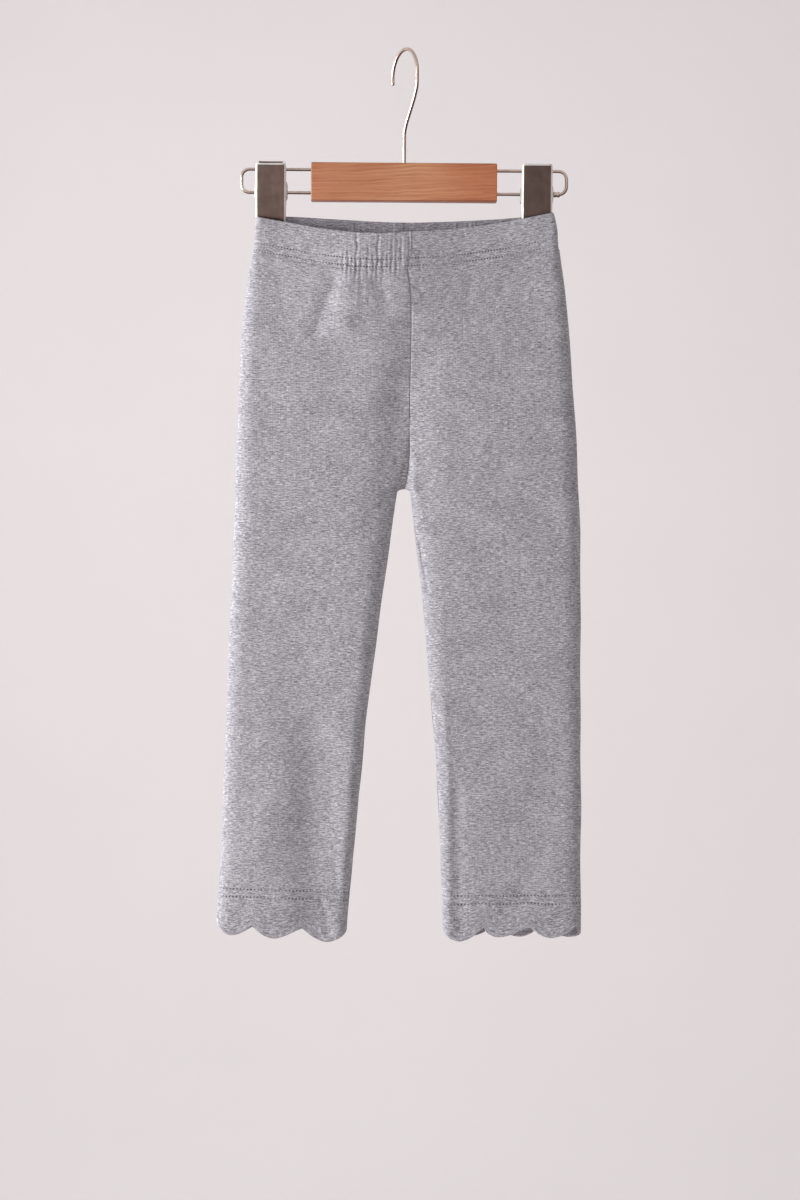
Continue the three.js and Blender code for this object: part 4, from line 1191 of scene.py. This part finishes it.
def jaw_plate(clip, face):
    """One jaw of a spring clip: a pressed plate with a turned-in flange down each side."""
    way = -1 if face == "front" else 1
    rows = curve_rows(JAW_ROWS, 46)
    points = []
    for away, half, flange, down in rows:
        if face == "back":
            half += BACK_EAR_REACH * float(smooth(flange, 4, 9)) - BACK_NARROWER
        z = clip[face] + down
        front = away + 1
        section = [(-half, front - JAW_CORNER - flange * s) for s in (1, 0.66, 0.33)]
        for angle in np.radians([0, 22.5, 45, 67.5, 90]):
            x = -half + JAW_CORNER * (1 - math.cos(angle))
            section.append((x, front - JAW_CORNER * (1 - math.sin(angle))))
        flat = [(x, front) for x in np.linspace(-half + JAW_CORNER, half - JAW_CORNER, 14)[1:-1]]
        mirrored = [(-x, y) for x, y in section[::-1]]
        points.append([(clip["x"] + x, way * y, z) for x, y in section + flat + mirrored])
    points = np.array(points)
    if face == "front":
        dx, dz = points[..., 0] - clip["x"], points[..., 2] - (clip[face] - DIMPLE["down"])
        points[..., 1] -= way * DIMPLE["depth"] * bell(np.hypot(dx, dz), DIMPLE["width"])
    count, columns = points.shape[:2]
    faces, r, c = grid_faces(count, columns, columns - 1)
    if face == "back":
        faces = faces[:, ::-1]
    mesh = bpy.data.meshes.new("jaw")
    mesh.from_pydata((tilted(points.reshape(-1, 3)) * MM).tolist(), [], faces.tolist())
    mesh.shade_smooth()
    jaw = new_piece(f"{clip['name']}_clip_{face}_jaw_plate", mesh, PLATE_PAINTED_REFLECTION[clip["name"]])
    mesh.materials.append(RIM_PAINTED_HIGHLIGHT)
    # Painted highlight on the front jaw's side and top rim strips.
    if face == "front":
        in_highlight_strip = (c < HIGHLIGHT_SPANS) | (c >= columns - 1 - HIGHLIGHT_SPANS) | (r < HIGHLIGHT_ROWS)
        mesh.polygons.foreach_set("material_index", in_highlight_strip.astype(np.int32))
    # The sheet's cut edges take the painted highlight too.
    solid = jaw.modifiers.new("sheet", "SOLIDIFY")
    solid.thickness, solid.offset, solid.material_offset_rim = JAW_SHEET * MM, -1, 1
    return jaw


def curve_rows(table, count):
    """Rows of a table as smooth curves of its last column, evenly spaced."""
    width = len(table[0]) - 1
    keyed = [(row[-1], *row[:-1]) for row in table]
    downs = np.linspace(table[0][-1], table[-1][-1], count)
    curves = [curve_through(keyed, k + 1)(downs) for k in range(width)]
    return list(zip(*curves, downs))


def clip_spring(clip):
    """The clip's spring: a coil round the frame's lower wire."""
    turns, length, radius = COIL["turns"], COIL["length"], COIL["radius"]
    t = np.linspace(0, turns, turns * 20)
    path = [(clip["x"] - length / 2 + length * k / turns, radius * math.sin(2 * math.pi * k),
             FRAME["bottom"] + radius * math.cos(2 * math.pi * k)) for k in t]
    points, faces = tube(path, COIL["wire_radius"], 10)
    return plain_object(f"{clip['name']}_clip_coil", tilted(points), faces, WIRE, 50)


def crimp_sleeve():
    length, radius = CRIMP["length"], CRIMP["diameter"] / 2
    mirrored = [(-along, size) for along, size in CRIMP_PROFILE[-2::-1]]
    profile = [*CRIMP_PROFILE, *mirrored]
    path = [(CRIMP["x"] + length * along, 0, FRAME["bottom"]) for along, _ in profile]
    path[0] = (path[0][0] - 0.01, 0, FRAME["bottom"])
    path[-1] = (path[-1][0] + 0.01, 0, FRAME["bottom"])
    points, faces = tube(path, radius, 24, scale=[size for _, size in profile])
    return plain_object("frame_crimp_sleeve", tilted(points), faces, WIRE, 40)


# The pieces, on the body and in place of its nodes


def put(piece, slot, *nodes):
    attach(piece, "root")
    if nodes:
        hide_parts(*nodes)
    return piece


for leg in LEGS:
    cloth = put(leg_cloth(leg), "jersey", f"{leg}_leg")
    hem = put(hem_stitches(leg), "jersey")
    facing, edge = facing_cloth(leg)
    put(facing, "jersey", f"{leg}_hem_facing")
    put(edge, "jersey")

band = put(waistband_cloth(), "jersey", "waistband")
band_thread = put(waistband_stitches(), "jersey")

put(block_wood(), "hanger_wood", "hanger_block")
put(frame_wire(), "wire", "hanger_frame")
put(hook_wire(), "wire", "hanger_hook")
put(crimp_sleeve(), "wire", "frame_crimp")
for clip in CLIPS:
    for face in ("front", "back"):
        put(jaw_plate(clip, face), "clip_plate", f"{clip['name']}_clip_{face}_jaw")
    put(clip_spring(clip), "wire", f"{clip['name']}_clip_spring")


# Room, light and camera, in metres

ROOM_STRENGTH = 0.49
ROOM_COLOUR = (1.0, 0.965, 0.97, 1)
SEEN_WALL = (0.76, 0.71, 0.71, 1)
STUDIO_PAINT = (0.942, 0.902, 0.902)
STUDIO = dict(half_width=9.0, front=-9.0, floor=-1.9, wall=3.6, bend=0.9, top=5.0)
# Name, place, target, size, power, colour.
LIGHTS = [
    ("window", (-1.55, -0.52, -0.27), (0, 0, -0.46), 0.9, 44, (0.98, 0.985, 1.0)),
    ("bounce", (2.8, -2.2, 0.2), (0, 0, -0.45), 2.2, 7, (1.0, 0.95, 0.94)),
    ("backdrop", (-1.0, 1.2, 0.5), (0.2, 3.6, -1.0), 1.2, 13.8, (1.0, 0.99, 0.985)),
]
CAMERA = dict(lens=83.7, sensor=36, place=(-0.0043, -2.4, -0.4721))


def studio_material():
    n = Nodes("studio_paint")
    place = n.add("TexCoord").outputs["Object"]
    dim = tuple(c * 0.985 for c in STUDIO_PAINT)
    tint = n.ramp(n.noise(place, (3, 3, 3)), [(0.3, dim), (0.7, STUDIO_PAINT)])
    return n.finish(Base_Color=tint, Roughness=0.9)


def stage_sheet():
    """A floor that curves up into a wall well behind the garment."""
    floor, wall, bend, half = (STUDIO[key] for key in ("floor", "wall", "bend", "half_width"))
    profile = [(STUDIO["front"], floor), (wall - bend, floor)]
    profile += [(wall - bend + bend * math.sin(a), floor + bend * (1 - math.cos(a)))
                for a in np.radians(np.arange(10, 91, 10))]
    profile.append((wall, STUDIO["top"]))
    points = [(x, y, z) for x in (-half, half) for y, z in profile]
    count = len(profile)
    faces = [(count + i, count + i + 1, i + 1, i) for i in range(count - 1)]
    mesh = bpy.data.meshes.new("studio")
    mesh.from_pydata(points, [], faces)
    mesh.shade_smooth()
    new_piece("studio", mesh, studio_material())


def area_light(name, where, target, size, power, colour):
    data = bpy.data.lights.new(name, "AREA")
    data.shape, data.size, data.energy, data.color = "DISK", size, power, colour
    light = bpy.data.objects.new(name, data)
    light.location = where
    light.rotation_euler = (Vector(target) - Vector(where)).to_track_quat("-Z", "Y").to_euler()
    light.visible_camera = False
    bpy.context.scene.collection.objects.link(light)


def room_light():
    """Soft light all round, seen by the camera as a pale wall."""
    world = bpy.data.worlds.new("room")
    world.use_nodes = True
    tree = world.node_tree
    tree.nodes.clear()
    light, seen = tree.nodes.new("ShaderNodeBackground"), tree.nodes.new("ShaderNodeBackground")
    light.inputs[0].default_value, light.inputs[1].default_value = ROOM_COLOUR, ROOM_STRENGTH
    seen.inputs[0].default_value = SEEN_WALL
    mix = tree.nodes.new("ShaderNodeMixShader")
    tree.links.new(tree.nodes.new("ShaderNodeLightPath").outputs["Is Camera Ray"], mix.inputs[0])
    tree.links.new(light.outputs[0], mix.inputs[1])
    tree.links.new(seen.outputs[0], mix.inputs[2])
    tree.links.new(mix.outputs[0], tree.nodes.new("ShaderNodeOutputWorld").inputs[0])
    bpy.context.scene.world = world


stage_sheet()
for light in LIGHTS:
    area_light(*light)
room_light()
bpy.context.scene.view_settings.view_transform = "Standard"

camera_data = bpy.data.cameras.new("camera")
camera_data.lens, camera_data.sensor_width = CAMERA["lens"], CAMERA["sensor"]
camera = bpy.data.objects.new("camera", camera_data)
camera.location = CAMERA["place"]
camera.rotation_euler = (math.pi / 2, 0, 0)
bpy.context.scene.collection.objects.link(camera)
bpy.context.scene.camera = camera

bpy.context.view_layer.update()
